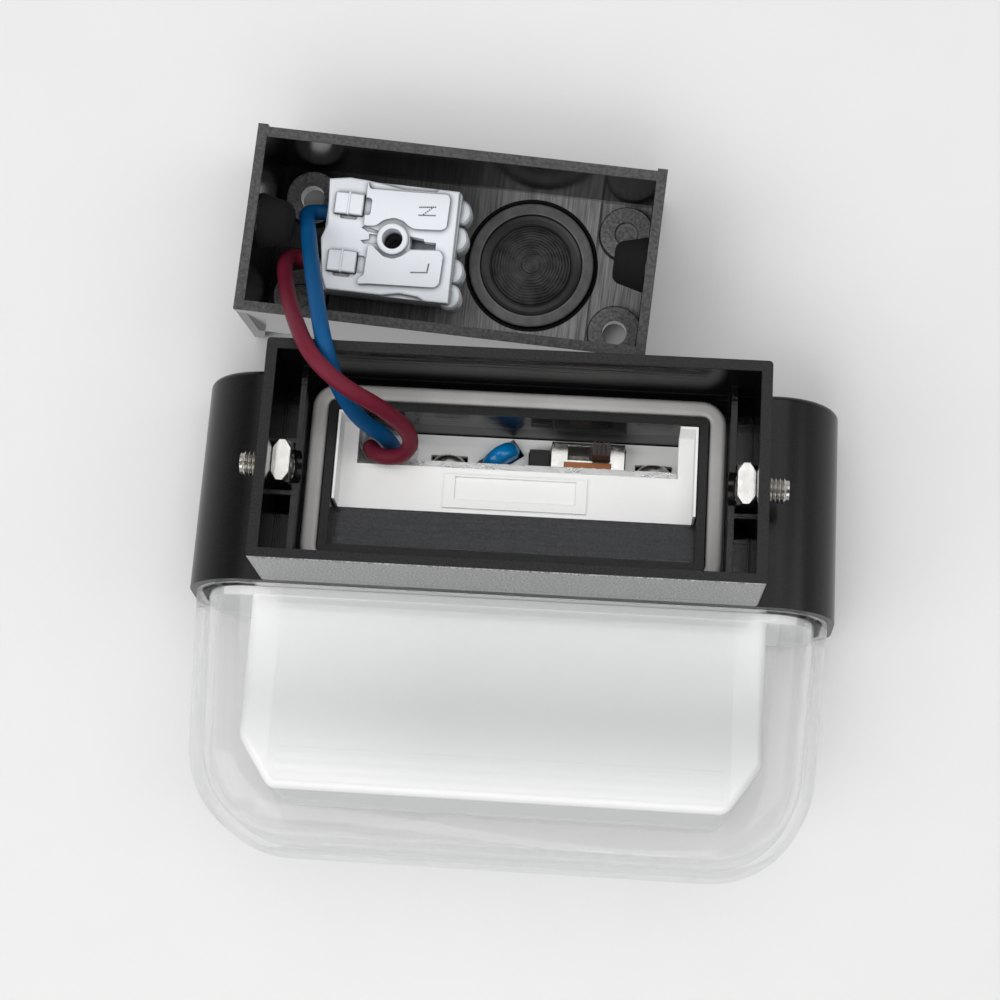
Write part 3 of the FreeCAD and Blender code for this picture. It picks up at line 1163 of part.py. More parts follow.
def build():
    nut = square_nut()
    screw = grub_screw()
    lamp = {
        "housing": housing(),
        "clear_cover": clear_cover(),
        "cover_seal": cover_seal(),
        "inner_diffuser": inner_diffuser(),
        "rear_gasket": rear_gasket(),
        "inner_cover": inner_cover(),
        "led_board": led_board(),
        "led_row": led_row(),
        "board_screws": board_screws(),
        "varistor": varistor(),
        "bridge_rectifier": bridge_rectifier(),
        "driver_chips": driver_chips(),
        "switch_shell": switch_shell(),
        "switch_base": switch_base(),
        "switch_pins": switch_pins(),
        "switch_knob": switch_knob(),
        "cable_ring": cable_ring(),
        "square_nut_right": nut,
        "square_nut_left": mirrored(nut),
        "grub_screw_right": screw,
        "grub_screw_left": mirrored(screw),
    }
    box = {
        "back_box": back_box(),
        "cable_grommet": cable_grommet(),
        "terminal_body": terminal_body(),
        "terminal_lever_n": terminal_lever(LEVER_Y[0]),
        "terminal_lever_l": terminal_lever(LEVER_Y[1]),
        "terminal_contacts": terminal_contacts(),
    }
    wires = {"wire_blue": wire(WIRE_BLUE), "wire_burgundy": wire(WIRE_BURGUNDY)}
    nodes = {name: lay_lamp(shape) for name, shape in lamp.items()}
    nodes.update({name: lay_box(shape) for name, shape in box.items()})
    whole = FreeCAD.BoundBox()
    for shape in nodes.values():
        whole.add(shape.optimalBoundingBox(False))
    to_origin = FreeCAD.Vector(-whole.Center.x, -whole.Center.y, 0)
    print("layout moved by", round(to_origin.x, 3), round(to_origin.y, 3))
    nodes.update(wires)
    for shape in nodes.values():
        shape.translate(to_origin)
    return nodes


os.makedirs("parts", exist_ok=True)
for name, shape in build().items():
    solids = len(shape.Solids)
    print(name, solids, "solids", "valid" if shape.isValid() else "NOT VALID", round(shape.Volume, 1))
    shape.exportStep("parts/" + name + ".step")
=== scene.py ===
import json
import math

import bmesh
import bpy
from mathutils import Matrix, Vector


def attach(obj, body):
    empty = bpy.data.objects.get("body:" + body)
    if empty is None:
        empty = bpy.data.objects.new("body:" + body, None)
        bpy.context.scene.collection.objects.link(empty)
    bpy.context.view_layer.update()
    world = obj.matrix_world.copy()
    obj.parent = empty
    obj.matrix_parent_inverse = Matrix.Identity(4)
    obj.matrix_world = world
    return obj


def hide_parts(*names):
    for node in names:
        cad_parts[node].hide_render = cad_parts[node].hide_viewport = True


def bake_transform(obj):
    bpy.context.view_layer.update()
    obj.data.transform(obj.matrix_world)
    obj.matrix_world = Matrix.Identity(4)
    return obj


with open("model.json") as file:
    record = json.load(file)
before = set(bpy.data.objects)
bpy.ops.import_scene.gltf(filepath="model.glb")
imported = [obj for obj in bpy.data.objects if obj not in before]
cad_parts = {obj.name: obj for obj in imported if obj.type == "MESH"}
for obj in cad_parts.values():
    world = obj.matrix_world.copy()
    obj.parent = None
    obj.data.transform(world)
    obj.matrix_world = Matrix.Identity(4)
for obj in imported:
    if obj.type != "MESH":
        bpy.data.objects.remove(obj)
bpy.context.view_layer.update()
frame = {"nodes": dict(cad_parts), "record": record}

NODES = frame["nodes"]

# ------------------------------------------------------------------ places, in metres and degrees
CAMERA_AT = (0.01729, -0.02387, 0.39579)
CAMERA_TURN = (3.955, 2.867, 3.176)
CAMERA_LENS, CAMERA_SENSOR = 68.76, 36    # in millimetres
CAMERA_NEAR = 0.01

COLLAR_RIM = (0, 0.007457, 0.042494)      # middle of the rear collar's rim, origin of the lamp
LAMP_TILT = -11.9                         # the lamp lies on its slanted front face
BOX_AT = (-0.01525, 0.051257, 0)          # middle of the wall box's back, origin of the box
BOX_TURN = -4.13
COLLAR_INSIDE = (0.0459, 0.0196)          # half sizes of the collar's inside
COLLAR_LOW_SIDE = -0.02165                # Y of its outer side by the cover
COLLAR_SIDE_FROM = -0.0172                # how far down, along Z, that side is seen
FACE_REACH = 0.0003                       # how far from a flat face its finish reaches
FRAME_RIM = -0.015                        # rims and floors, along the lamp's or the box's own Z
WELL_FLOOR = -0.0225
WELL_LEDGE_Y, WELL_LEDGE_HALF = -0.008, 0.008
WELL_LEDGE_RISE = 0.002                   # the ledge ends this far over the well's floor
BOX_RIM = 0.0267
BOX_FLOOR_TOP = 0.0045
BOX_INSIDE = (0.0386, 0.0166)             # half sizes of the box's inside, less a little
RIM_DEPTH = 0.00035                       # how far down a rim's grain goes
BOSS_MIDDLE = (0.001, -0.0005)            # the four screw bosses lie round this, in the box
BOSS_APART = (0.033, 0.0104)
BOSS_RADIUS, BOSS_INNER = 0.0056, 0.0024
BOSS_RINGS = 0.0009                       # step of the turned rings on a boss
# half widths of the painted shade lines round each boss and round its hole
BOSS_SHADE_LINE, BOSS_INNER_SHADE_LINE = 0.00016, 0.00009
SOCKET_FROM, SOCKET_HALF = 0.0305, 0.0075 # clamp sockets: from X outwards, half size along Y
SOCKET_Z, SOCKET_HALF_Z = 0.0195, 0.007
FLOOR_PAINTED_LIGHT = (-0.03, 0.025)              # painted light and shade: the box's floor goes from dark at the left to pale at the right between these, along X
GROOVE_RADIUS = 0.0139                    # painted shade in the gap round the grommet
# the ring of the grommet's flange that is painted paler as sheen
FLANGE_RADIUS, FLANGE_HALF = 0.0118, 0.0011
# the flange's step, and the width of the painted shade line at it
FLANGE_STEP, STEP_SHADE_LINE = 0.0105, 0.00018
SKIN_RADIUS = 0.0082                      # domed middle of the grommet, with its rings
SKIN_RINGS, SKIN_WOBBLE = 0.0006, 0.0009

NYLON_SHADE = (0.005, 0.0150)             # the terminal block turns white between these heights
NYLON_CREASE = 0.0012                     # how far apart the walls of a crease may be, for the painted shade in it

# The diffuser's painted highlight and light zones along Y, its painted light from the left, its
# plain middle along X with a painted highlight beyond it, its front kept clear of painted light,
# and its ridges.
DIFFUSER_LOW_HIGHLIGHT, DIFFUSER_TOP_LIGHT = (-0.0595, -0.0440), (-0.0420, -0.0240)
DIFFUSER_LEFT_LIGHT = (-0.048, -0.012)
DIFFUSER_HALF, DIFFUSER_FRONT = 0.044, -0.0235
RIDGE_STEP, RIDGE_AT, RIDGE_REACH, RIDGE_HALF = 0.0021, -0.0560, 0.0032, 0.0425

CLEAR_IOR = 1.25
CLEAR_EDGE = (0.52, 0.53, 0.60)           # share of each colour that passes edge-on
CLEAR_STEEP = 14.0                        # higher: only steeper walls count as edge-on
CLEAR_GLOSS, CLEAR_GLOSS_EDGE, CLEAR_GLOSS_ROUGHNESS = 0.035, 0.75, 0.14

# The next shapes are in millimetres in the box's own frame, whose Z starts at its back.
MM = 0.001
FLAT = 0.01                               # a point this close to a height or middle lies on it
ROUND_STEPS, FUNNEL_STEPS = 40, 28
BOX_PLACE = (Matrix.Translation(BOX_AT) @ Matrix.Rotation(math.radians(BOX_TURN), 4, "Z")
             @ Matrix.Scale(MM, 4))
BLOCK_OUTLINE = [
    (-26.9, 11.6), (-22.7, 12.3), (-19.2, 12.1), (-15.6, 11.7), (-11.8, 11.05), (-4.9, 11.3),
    (-4.4, 11.9), (-0.3, 11.9), (0.2, -11.0), (-4.7, -11.1), (-6.1, -10.4), (-9.8, -10.1),
    (-13.6, -10.9), (-18.1, -10.9), (-24.8, -10.9), (-25.8, -8.5), (-27.1, -0.7), (-26.1, 2.4),
    (-26.5, 7.1)]
PLATEAU_N = [
    (-18.9, 11.8), (-18.3, 10.2), (-11.4, 10.4), (-2.5, 10.8), (-1.9, 10.0), (-1.95, 4.1),
    (-2.9, 3.5), (-8.4, 3.1), (-9.6, 3.6), (-10.8, 4.5), (-12.6, 4.9), (-14.6, 4.3), (-16.2, 2.9),
    (-18.6, 2.6)]
PLATEAU_L = [
    (-18.4, -9.3), (-16.3, -9.0), (-2.8, -8.25), (-2.0, -7.4), (-1.9, -1.7), (-2.7, -0.75),
    (-8.6, -1.3), (-10.2, -2.7), (-12.0, -3.5), (-13.9, -3.2), (-15.6, -1.9), (-16.4, -1.2),
    (-17.2, -1.3), (-17.3, -7.4), (-18.4, -8.2)]
BLOCK_TIER = (14.2, 16.6)                 # the block's top plate, low and high
BLOCK_EDGE = 0.35                         # rounding of its rims and of the raised fields
PLATEAU_TOP, PLATEAU_CORNER = 17.4, 0.4
EYE_AT = (-12.5, 0.55)
EYE_OUTER, EYE_INNER, EYE_TOP, EYE_EDGE = 3.2, 2.1, 17.7, 0.45
SLOT_OUTLINE = [(-9.1, 1.64), (-6.3, 1.4), (-6.1, 0.9), (-3.7, 0.9), (-3.64, -0.5), (-8.9, -1.0)]
LEVER_Y = {"terminal_lever_n": 6.7, "terminal_lever_l": -5.1}
LEVER_LEFT, LEVER_RIGHT, LEVER_HALF = -24.95, -19.25, 2.1
LEVER_LOW, LEVER_TOP = 13.95, 18.1
LEVER_FALL, LEVER_EDGE = 0.35, 0.3        # its top falls by this from its middle to both ends
LEVER_PLAY = 0.2
RIB_HALF, RIB_OVER, RIB_RISE = 0.2, 0.15, 0.1
POCKET_FLOOR = 12.4
RELIEF = 0.45                             # depth of the shallow recesses in the top plate
KEY_PRONGS = [[(-19.1, 2.3), (-18.5, 2.8), (-15.4, 2.0), (-15.5, 1.4), (-17.9, 1.6)],
              [(-19.0, -0.3), (-18.3, -0.9), (-15.5, -0.8), (-15.6, 1.2), (-17.4, 1.2),
               (-17.3, 0.1)]]
FUNNEL_Y = (8.3, 2.8, -3.9, -9.0)
FUNNEL_Z = 11.2
FUNNEL_HALF = (2.4, 2.72)                 # half sizes of the rounded wire entries
FUNNEL_TOP, FUNNEL_EDGE = 14.3, 1.3       # their highest point and how round they are there
FUNNEL_BORE = 1.7
BODY_CUT_Z = 15.5                         # the source's block is kept below this
BODY_CUT_X = 0.25                         # and left of this
MARK_Z = 17.4
DOT_RADIUS, DOT_TAPER, DOT_HEIGHT = 0.165, 0.8, 0.14
MARK_ROWS = [                             # rows of dots: first, last and how many; N, then L
    ((-7.8, 7.6), (-4.67, 7.97), 9), ((-7.76, 5.96), (-4.57, 6.26), 9),
    ((-5.4, 7.62), (-6.85, 6.26), 5),
    ((-7.83, -5.77), (-4.69, -5.45), 9), ((-4.67, -5.1), (-4.54, -3.72), 5)]
GROMMET_AT = (15.1, 1.2)
GROMMET_PROFILE = [                       # half section, radius and height
    (0, 0.2), (8.65, 0.2), (8.65, 1.3), (9.55, 1.3), (9.55, 0), (10.95, 0), (10.95, 2.0),
    (12.9, 2.0), (13.0, 2.9), (12.9, 3.25), (12.6, 3.4), (11.0, 3.45), (10.6, 3.35), (10.4, 3.0),
    (9.7, 2.65), (8.8, 2.45), (8.4, 2.55), (8.1, 2.85), (7.2, 3.25), (6.0, 3.65), (4.6, 4.05),
    (3.2, 4.35), (2.6, 4.42), (2.4, 4.55), (2.1, 4.55), (1.9, 4.4), (1.0, 4.45), (0, 4.5)]

# ------------------------------------------------------------------ wires
WIRE_DIAMETER = 0.0032
ROUTE_SHIFT = Vector((0, 0.007457, 0))    # routes are given from the middle of the collar rim
BLUE_ROUTE = [
    (-0.0372, 0.0510, 0.0110), (-0.0436, 0.0515, 0.0110), (-0.0462, 0.0506, 0.0136),
    (-0.0446, 0.0466, 0.0190), (-0.0422, 0.0379, 0.0275), (-0.0390, 0.0280, 0.0370),
    (-0.0363, 0.0196, 0.0434), (-0.0341, 0.0122, 0.0370), (-0.0306, 0.0070, 0.0275),
    (-0.0257, 0.0049, 0.0202), (-0.0252, 0.0032, 0.0130),
]
BURGUNDY_ROUTE = [
    (-0.0380, 0.0395, 0.0110), (-0.0436, 0.0399, 0.0110), (-0.0485, 0.0422, 0.0130),
    (-0.0492, 0.0392, 0.0182), (-0.0469, 0.0326, 0.0265), (-0.0432, 0.0250, 0.0373),
    (-0.0385, 0.0170, 0.0450), (-0.0321, 0.0116, 0.0445), (-0.0255, 0.0088, 0.0385),
    (-0.0212, 0.0059, 0.0300), (-0.0204, 0.0031, 0.0252), (-0.0229, 0.0008, 0.0227),
    (-0.0277, 0.0008, 0.0219), (-0.0298, 0.0034, 0.0186), (-0.0295, 0.0030, 0.0130),
]


# ------------------------------------------------------------------ material helpers
def new_finish(name):
    """A node material; returns it, its tree and its surface shader."""
    finish = bpy.data.materials.new(name)
    finish.use_nodes = True
    return finish, finish.node_tree, finish.node_tree.nodes["Principled BSDF"]


def object_place(tree, scale=(1, 1, 1), turn=(0, 0, 0), at=(0, 0, 0)):
    """Object coordinates measured from a place, turned and stretched, for a pattern."""
    place = tree.nodes.new("ShaderNodeTexCoord")
    moved = tree.nodes.new("ShaderNodeVectorMath")
    moved.operation = "SUBTRACT"
    moved.inputs[1].default_value = at
    tree.links.new(place.outputs["Object"], moved.inputs[0])
    mapping = tree.nodes.new("ShaderNodeMapping")
    mapping.inputs["Rotation"].default_value = [math.radians(a) for a in turn]
    tree.links.new(moved.outputs["Vector"], mapping.inputs["Vector"])
    stretched = tree.nodes.new("ShaderNodeVectorMath")
    stretched.operation = "MULTIPLY"
    stretched.inputs[1].default_value = scale
    tree.links.new(mapping.outputs["Vector"], stretched.inputs[0])
    return stretched.outputs["Vector"]


def lamp_place(tree, scale=(1, 1, 1)):
    return object_place(tree, scale, (-LAMP_TILT, 0, 0), COLLAR_RIM)


def box_place(tree, scale=(1, 1, 1)):
    return object_place(tree, scale, (0, 0, -BOX_TURN), BOX_AT)


def noise(tree, place, scale, detail=4.0, roughness=0.55):
    cloud = tree.nodes.new("ShaderNodeTexNoise")
    cloud.inputs["Scale"].default_value = scale
    cloud.inputs["Detail"].default_value = detail
    cloud.inputs["Roughness"].default_value = roughness
    tree.links.new(place, cloud.inputs["Vector"])
    return cloud.outputs["Fac"]


def spread(tree, value, low, high, from_low=0.35, from_high=0.65):
    """A pattern's values stretched to a range."""
    ramp = tree.nodes.new("ShaderNodeMapRange")
    for socket, number in (("From Min", from_low), ("From Max", from_high),
                           ("To Min", low), ("To Max", high)):
        ramp.inputs[socket].default_value = number
    tree.links.new(value, ramp.inputs["Value"])
    return ramp.outputs["Result"]


def sums(tree, operation, *values):
    """One Math node: its operation on numbers and sockets."""
    node = tree.nodes.new("ShaderNodeMath")
    node.operation = operation
    for socket, value in zip(node.inputs, values):
        if isinstance(value, (int, float)):
            socket.default_value = value
        else:
            tree.links.new(value, socket)
    return node.outputs["Value"]


def times(tree, first, *others):
    for value in others:
        first = sums(tree, "MULTIPLY", first, value)
    return first


def split(tree, place):
    parts = tree.nodes.new("ShaderNodeSeparateXYZ")
    tree.links.new(place, parts.inputs["Vector"])
    return [parts.outputs[axis] for axis in "XYZ"]


def near(tree, value, middle, reach):
    """1 where a value lies within reach of a middle, otherwise 0."""
    return sums(tree, "COMPARE", value, middle, reach)


def within(tree, x, y, halves):
    return times(tree, near(tree, x, 0, halves[0]), near(tree, y, 0, halves[1]))


def distance(tree, x, y, middle):
    along, across = (sums(tree, "SUBTRACT", value, at) for value, at in zip((x, y), middle))
    return sums(tree, "SQRT", sums(tree, "ADD", times(tree, along, along),
                                   times(tree, across, across)))


def between(tree, share, dark, pale):
    """A colour between two, by a pattern."""
    blend = tree.nodes.new("ShaderNodeMix")
    blend.data_type = "RGBA"
    blend.inputs["A"].default_value = (*dark, 1)
    blend.inputs["B"].default_value = (*pale, 1)
    tree.links.new(share, blend.inputs["Factor"])
    return blend.outputs["Result"]


def toned(tree, share, base, colour):
    """A colour or pattern turned to another colour where a mask says."""
    blend = tree.nodes.new("ShaderNodeMix")
    blend.data_type = "RGBA"
    tree.links.new(share, blend.inputs["Factor"])
    tree.links.new(base, blend.inputs["A"])
    if isinstance(colour, tuple):
        blend.inputs["B"].default_value = (*colour, 1)
    else:
        tree.links.new(colour, blend.inputs["B"])
    return blend.outputs["Result"]


def blended(tree, share, low, high):
    """A number between two numbers or patterns, by a mask."""
    blend = tree.nodes.new("ShaderNodeMix")
    for name, value in (("Factor", share), ("A", low), ("B", high)):
        if isinstance(value, (int, float)):
            blend.inputs[name].default_value = value
        else:
            tree.links.new(value, blend.inputs[name])
    return blend.outputs["Result"]


def shaders(tree, share, base, over):
    """One shader laid over another, by a mask."""
    mix = tree.nodes.new("ShaderNodeMixShader")
    for socket, value in zip(mix.inputs, (share, base, over)):
        tree.links.new(value, socket)
    return mix.outputs["Shader"]


def raised(tree, shader, height, depth, edge=0.0):
    """Surface relief from a pattern, in metres, over edges rounded by a small radius."""
    bump = tree.nodes.new("ShaderNodeBump")
    bump.inputs["Distance"].default_value = depth
    bump.inputs["Strength"].default_value = 1.0
    tree.links.new(height, bump.inputs["Height"])
    if edge:
        bevel = tree.nodes.new("ShaderNodeBevel")
        bevel.samples = 6
        bevel.inputs["Radius"].default_value = edge
        tree.links.new(bevel.outputs["Normal"], bump.inputs["Normal"])
    tree.links.new(bump.outputs["Normal"], shader.inputs["Normal"])


def moulded(name, colour, roughness, grain=1500.0, relief=0.00002, specular=0.5, edge=0.00015,
            shade=0.85, rough_swing=0.05):
    """Moulded plastic: fine grain, slight changes of colour and gloss, softened edges."""
    finish, tree, shader = new_finish(name)
    place = object_place(tree)
    broad = noise(tree, place, 60.0)
    dark = [c * shade for c in colour]
    tree.links.new(between(tree, spread(tree, broad, 0, 1), dark, colour),
                   shader.inputs["Base Color"])
    tree.links.new(spread(tree, broad, roughness - rough_swing, roughness + rough_swing),
                   shader.inputs["Roughness"])
    shader.inputs["Specular IOR Level"].default_value = specular
    raised(tree, shader, noise(tree, place, grain, 2.0), relief, edge)
    return finish


def grained(tree, colour, grain, low, high, *limits):
    """A colour broken up by a grain."""
    blend = tree.nodes.new("ShaderNodeMix")
    blend.data_type = "RGBA"
    blend.blend_type = "MULTIPLY"
    blend.inputs["Factor"].default_value = 1.0
    tree.links.new(colour, blend.inputs["A"])
    tree.links.new(spread(tree, grain, low, high, *limits), blend.inputs["B"])
    return blend.outputs["Result"]


def black_housing():
    """Black plastic: grained rims, a grained collar side by the cover painted pale grey as sheen, a
    ledge painted paler as sheen, a satin outside, gloss inside the collar.
    """
    finish, tree, shader = new_finish("black_moulding")
    place = lamp_place(tree)
    x, y, z = split(tree, place)
    rim = sums(tree, "MAXIMUM", near(tree, z, 0, RIM_DEPTH), near(tree, z, FRAME_RIM, RIM_DEPTH))
    inside = times(tree, within(tree, x, y, COLLAR_INSIDE),
                   sums(tree, "GREATER_THAN", z, WELL_FLOOR))
    # the collar's outer side by the cover: its grain is real, its pale grey is painted sheen
    side = times(tree, near(tree, y, COLLAR_LOW_SIDE, FACE_REACH),
                 sums(tree, "GREATER_THAN", z, COLLAR_SIDE_FROM))
    ledge = times(tree, sums(tree, "LESS_THAN", z, WELL_FLOOR + WELL_LEDGE_RISE),
                  near(tree, y, WELL_LEDGE_Y, WELL_LEDGE_HALF),
                  near(tree, x, 0, COLLAR_INSIDE[0]))
    streaks = noise(tree, lamp_place(tree, (60, 900, 900)), 1.0)
    grain = noise(tree, place, 2400.0, 3.0)
    coarse = sums(tree, "MAXIMUM", rim, times(tree, side, 0.6))
    height = sums(tree, "ADD", times(tree, grain, sums(tree, "MAXIMUM", coarse, 0.06)),
                  times(tree, streaks, sums(tree, "ADD", inside, 0.3)))
    # painted sheen: the ledge in the well is painted a paler bluish grey
    tone = between(tree, ledge, (0.004, 0.004, 0.0045), (0.018, 0.019, 0.022))
    tone = toned(tree, rim, tone, (0.010, 0.010, 0.010))
    # painted sheen: the collar's outer side by the cover is painted pale grey
    tone = toned(tree, side, tone, (0.26, 0.26, 0.265))
    tree.links.new(grained(tree, tone, grain, 0.5, 1.6), shader.inputs["Base Color"])
    shader.inputs["Specular IOR Level"].default_value = 0.35
    rough = blended(tree, inside, 0.3, 0.16)
    tree.links.new(blended(tree, rim, rough, 0.4), shader.inputs["Roughness"])
    raised(tree, shader, height, 0.00005, 0.00015)
    return finish


def black_box():
    """The wall box: grained rim, glossy walls, a brushed floor painted darker to the left as shade
    and paler to the right as light, turned bosses with tops painted paler as light, matt sockets.

    Painted shade darkens the gap round the grommet, and lines round the bosses and their holes.
    """
    finish, tree, shader = new_finish("black_moulding_box")
    place = box_place(tree)
    x, y, z = split(tree, place)
    rim = near(tree, z, BOX_RIM, RIM_DEPTH)
    inside = within(tree, x, y, BOX_INSIDE)
    floor = times(tree, sums(tree, "LESS_THAN", z, BOX_FLOOR_TOP), inside)
    along = sums(tree, "ABSOLUTE", sums(tree, "SUBTRACT", x, BOSS_MIDDLE[0]))
    across = sums(tree, "ABSOLUTE", sums(tree, "SUBTRACT", y, BOSS_MIDDLE[1]))
    out = distance(tree, along, across, BOSS_APART)
    boss = times(tree, sums(tree, "LESS_THAN", out, BOSS_RADIUS), floor)
    rings = sums(tree, "SINE", times(tree, out, 2 * math.pi / BOSS_RINGS))
    socket = times(tree, sums(tree, "GREATER_THAN", along, SOCKET_FROM),
                   sums(tree, "LESS_THAN", across, SOCKET_HALF),
                   near(tree, z, SOCKET_Z, SOCKET_HALF_Z), inside)
    brushed = noise(tree, box_place(tree, (3000, 120, 120)), 1.0, 3.0)
    grain = noise(tree, place, 1600.0, 3.0)
    height = sums(tree, "ADD", times(tree, grain, sums(tree, "MAXIMUM", rim, 0.03)),
                  times(tree, brushed, floor, 0.35))
    height = sums(tree, "ADD", height, times(tree, rings, boss, 0.2))
    # painted shade: dark lines at the bosses' edges and holes, and in the gap round the grommet
    shade_line = sums(tree, "MAXIMUM", near(tree, out, BOSS_RADIUS, BOSS_SHADE_LINE),
                     near(tree, out, BOSS_INNER, BOSS_INNER_SHADE_LINE))
    from_grommet = distance(tree, x, y, [at * MM for at in GROMMET_AT])
    groove_shade = times(tree, sums(tree, "LESS_THAN", from_grommet, GROOVE_RADIUS), floor)
    shade_line = sums(tree, "MAXIMUM", shade_line, groove_shade)
    tone = between(tree, socket, (0.006, 0.006, 0.0065), (0.0015, 0.0015, 0.0018))
    # painted light and shade on the floor: dark at the left, pale at the right
    floor_painted_light = between(tree, spread(tree, x, 0.0, 1.0, *FLOOR_PAINTED_LIGHT), (0.010, 0.010, 0.011),
                         (0.26, 0.26, 0.263))
    tone = toned(tree, floor, tone, floor_painted_light)
    # painted light: the tops of the bosses are painted paler
    tone = toned(tree, boss, tone, (0.17, 0.17, 0.172))
    tone = toned(tree, times(tree, shade_line, floor), tone, (0.002, 0.002, 0.002))
    tone = toned(tree, rim, tone, (0.055, 0.055, 0.055))
    streaks = blended(tree, sums(tree, "SUBTRACT", floor, boss), grain, brushed)
    tree.links.new(grained(tree, tone, streaks, 0.62, 1.38), shader.inputs["Base Color"])
    rough = blended(tree, floor, 0.17, 0.34)
    rough = blended(tree, rim, rough, 0.42)
    tree.links.new(blended(tree, sums(tree, "MAXIMUM", socket, groove_shade), rough, 1.0),
                   shader.inputs["Roughness"])
    raised(tree, shader, height, 0.00007, 0.00015)
    return finish


def black_rubber():
    """Rubber: a flange painted paler as sheen, a painted shade line at its step, and fine rings on
    the domed skin.
    """
    finish, tree, shader = new_finish("black_rubber")
    place = box_place(tree)
    x, y = split(tree, place)[:2]
    out = distance(tree, x, y, [at * MM for at in GROMMET_AT])
    # painted sheen: the flange is painted paler
    flange = near(tree, out, FLANGE_RADIUS, FLANGE_HALF)
    skin = sums(tree, "LESS_THAN", out, SKIN_RADIUS)
    wobble = times(tree, noise(tree, place, 400.0, 3.0), SKIN_WOBBLE)
    rings = sums(tree, "SINE", times(tree, sums(tree, "ADD", out, wobble),
                                     2 * math.pi / SKIN_RINGS))
    cloud = noise(tree, place, 500.0)
    share = sums(tree, "ADD", flange, times(tree, spread(tree, cloud, 0.0, 0.2), skin))
    tone = between(tree, share, (0.020, 0.020, 0.021), (0.125, 0.124, 0.125))
    # painted shade: a dark line at the flange's step
    tone = toned(tree, near(tree, out, FLANGE_STEP, STEP_SHADE_LINE), tone, (0.004, 0.004, 0.004))
    tree.links.new(grained(tree, tone, cloud, 0.85, 1.15), shader.inputs["Base Color"])
    shader.inputs["Roughness"].default_value = 0.42
    raised(tree, shader, times(tree, rings, skin), 0.00003, 0.0001)
    return finish


def white_nylon():
    """Cool white nylon with painted shade: darker low down, where the box shades it, and in each
    crease.
    """
    finish, tree, shader = new_finish("white_nylon")
    z = split(tree, object_place(tree))[2]
    cloud = spread(tree, noise(tree, object_place(tree), 120.0), -0.05, 0.05)
    share = sums(tree, "ADD", spread(tree, z, 0.0, 1.0, *NYLON_SHADE), cloud)
    # painted shade in each crease, from ambient occlusion
    crease_shade = tree.nodes.new("ShaderNodeAmbientOcclusion")
    crease_shade.samples = 8
    crease_shade.inputs["Distance"].default_value = NYLON_CREASE
    # painted shade low down, where the box shades the block
    tone = between(tree, share, (0.17, 0.18, 0.19), (0.74, 0.77, 0.815))
    tree.links.new(grained(tree, tone, crease_shade.outputs["AO"], 0.3, 1.0, 0.45, 0.95),
                   shader.inputs["Base Color"])
    shader.inputs["Roughness"].default_value = 0.36
    raised(tree, shader, noise(tree, object_place(tree), 1500.0, 2.0), 0.000006, 0.00012)
    return finish


def clear_plastic(name, tint, roughness, bend=0.14):
    """Thin clear plastic: mostly straight sight, with gloss and bend that grow edge-on.

    Shadow and diffuse rays pass it straight, so that the light on what it covers counts once.
    """
    finish, tree, shader = new_finish(name)
    shader.inputs["Base Color"].default_value = (*tint, 1)
    shader.inputs["Roughness"].default_value = roughness
    shader.inputs["IOR"].default_value = CLEAR_IOR
    shader.inputs["Transmission Weight"].default_value = 1.0
    ripple = noise(tree, object_place(tree), 90.0, 1.0)
    raised(tree, shader, ripple, 0.00001)

    facing = tree.nodes.new("ShaderNodeLayerWeight")
    facing.inputs["Blend"].default_value = 0.5
    see_through = tree.nodes.new("ShaderNodeBsdfTransparent")
    edge_tint = [part * passed for part, passed in zip(tint, CLEAR_EDGE)]
    steep = sums(tree, "POWER", facing.outputs["Facing"], CLEAR_STEEP)
    tree.links.new(between(tree, steep, tint, edge_tint), see_through.inputs["Color"])
    gloss = tree.nodes.new("ShaderNodeBsdfGlossy")
    gloss.inputs["Color"].default_value = (0.95, 0.95, 0.95, 1)
    gloss.inputs["Roughness"].default_value = CLEAR_GLOSS_ROUGHNESS
    side = tree.nodes.new("ShaderNodeNewGeometry")
    outward = sums(tree, "SUBTRACT", 1.0, side.outputs["Backfacing"])
    share = times(tree, spread(tree, steep, CLEAR_GLOSS, CLEAR_GLOSS_EDGE, 0.0, 1.0), outward)
    thin = shaders(tree, share, see_through.outputs["BSDF"], gloss.outputs["BSDF"])
    bent = spread(tree, facing.outputs["Facing"], bend, 0.5, 0.4, 0.85)
    seen = shaders(tree, bent, thin, shader.outputs["BSDF"])
    lit = tree.nodes.new("ShaderNodeBsdfTransparent")
    lit.inputs["Color"].default_value = (*tint, 1)
    ray = tree.nodes.new("ShaderNodeLightPath")
    light = sums(tree, "MAXIMUM", ray.outputs["Is Shadow Ray"], ray.outputs["Is Diffuse Ray"])
    surface = shaders(tree, light, seen, lit.outputs["BSDF"])
    tree.links.new(surface, tree.nodes["Material Output"].inputs["Surface"])
    return finish


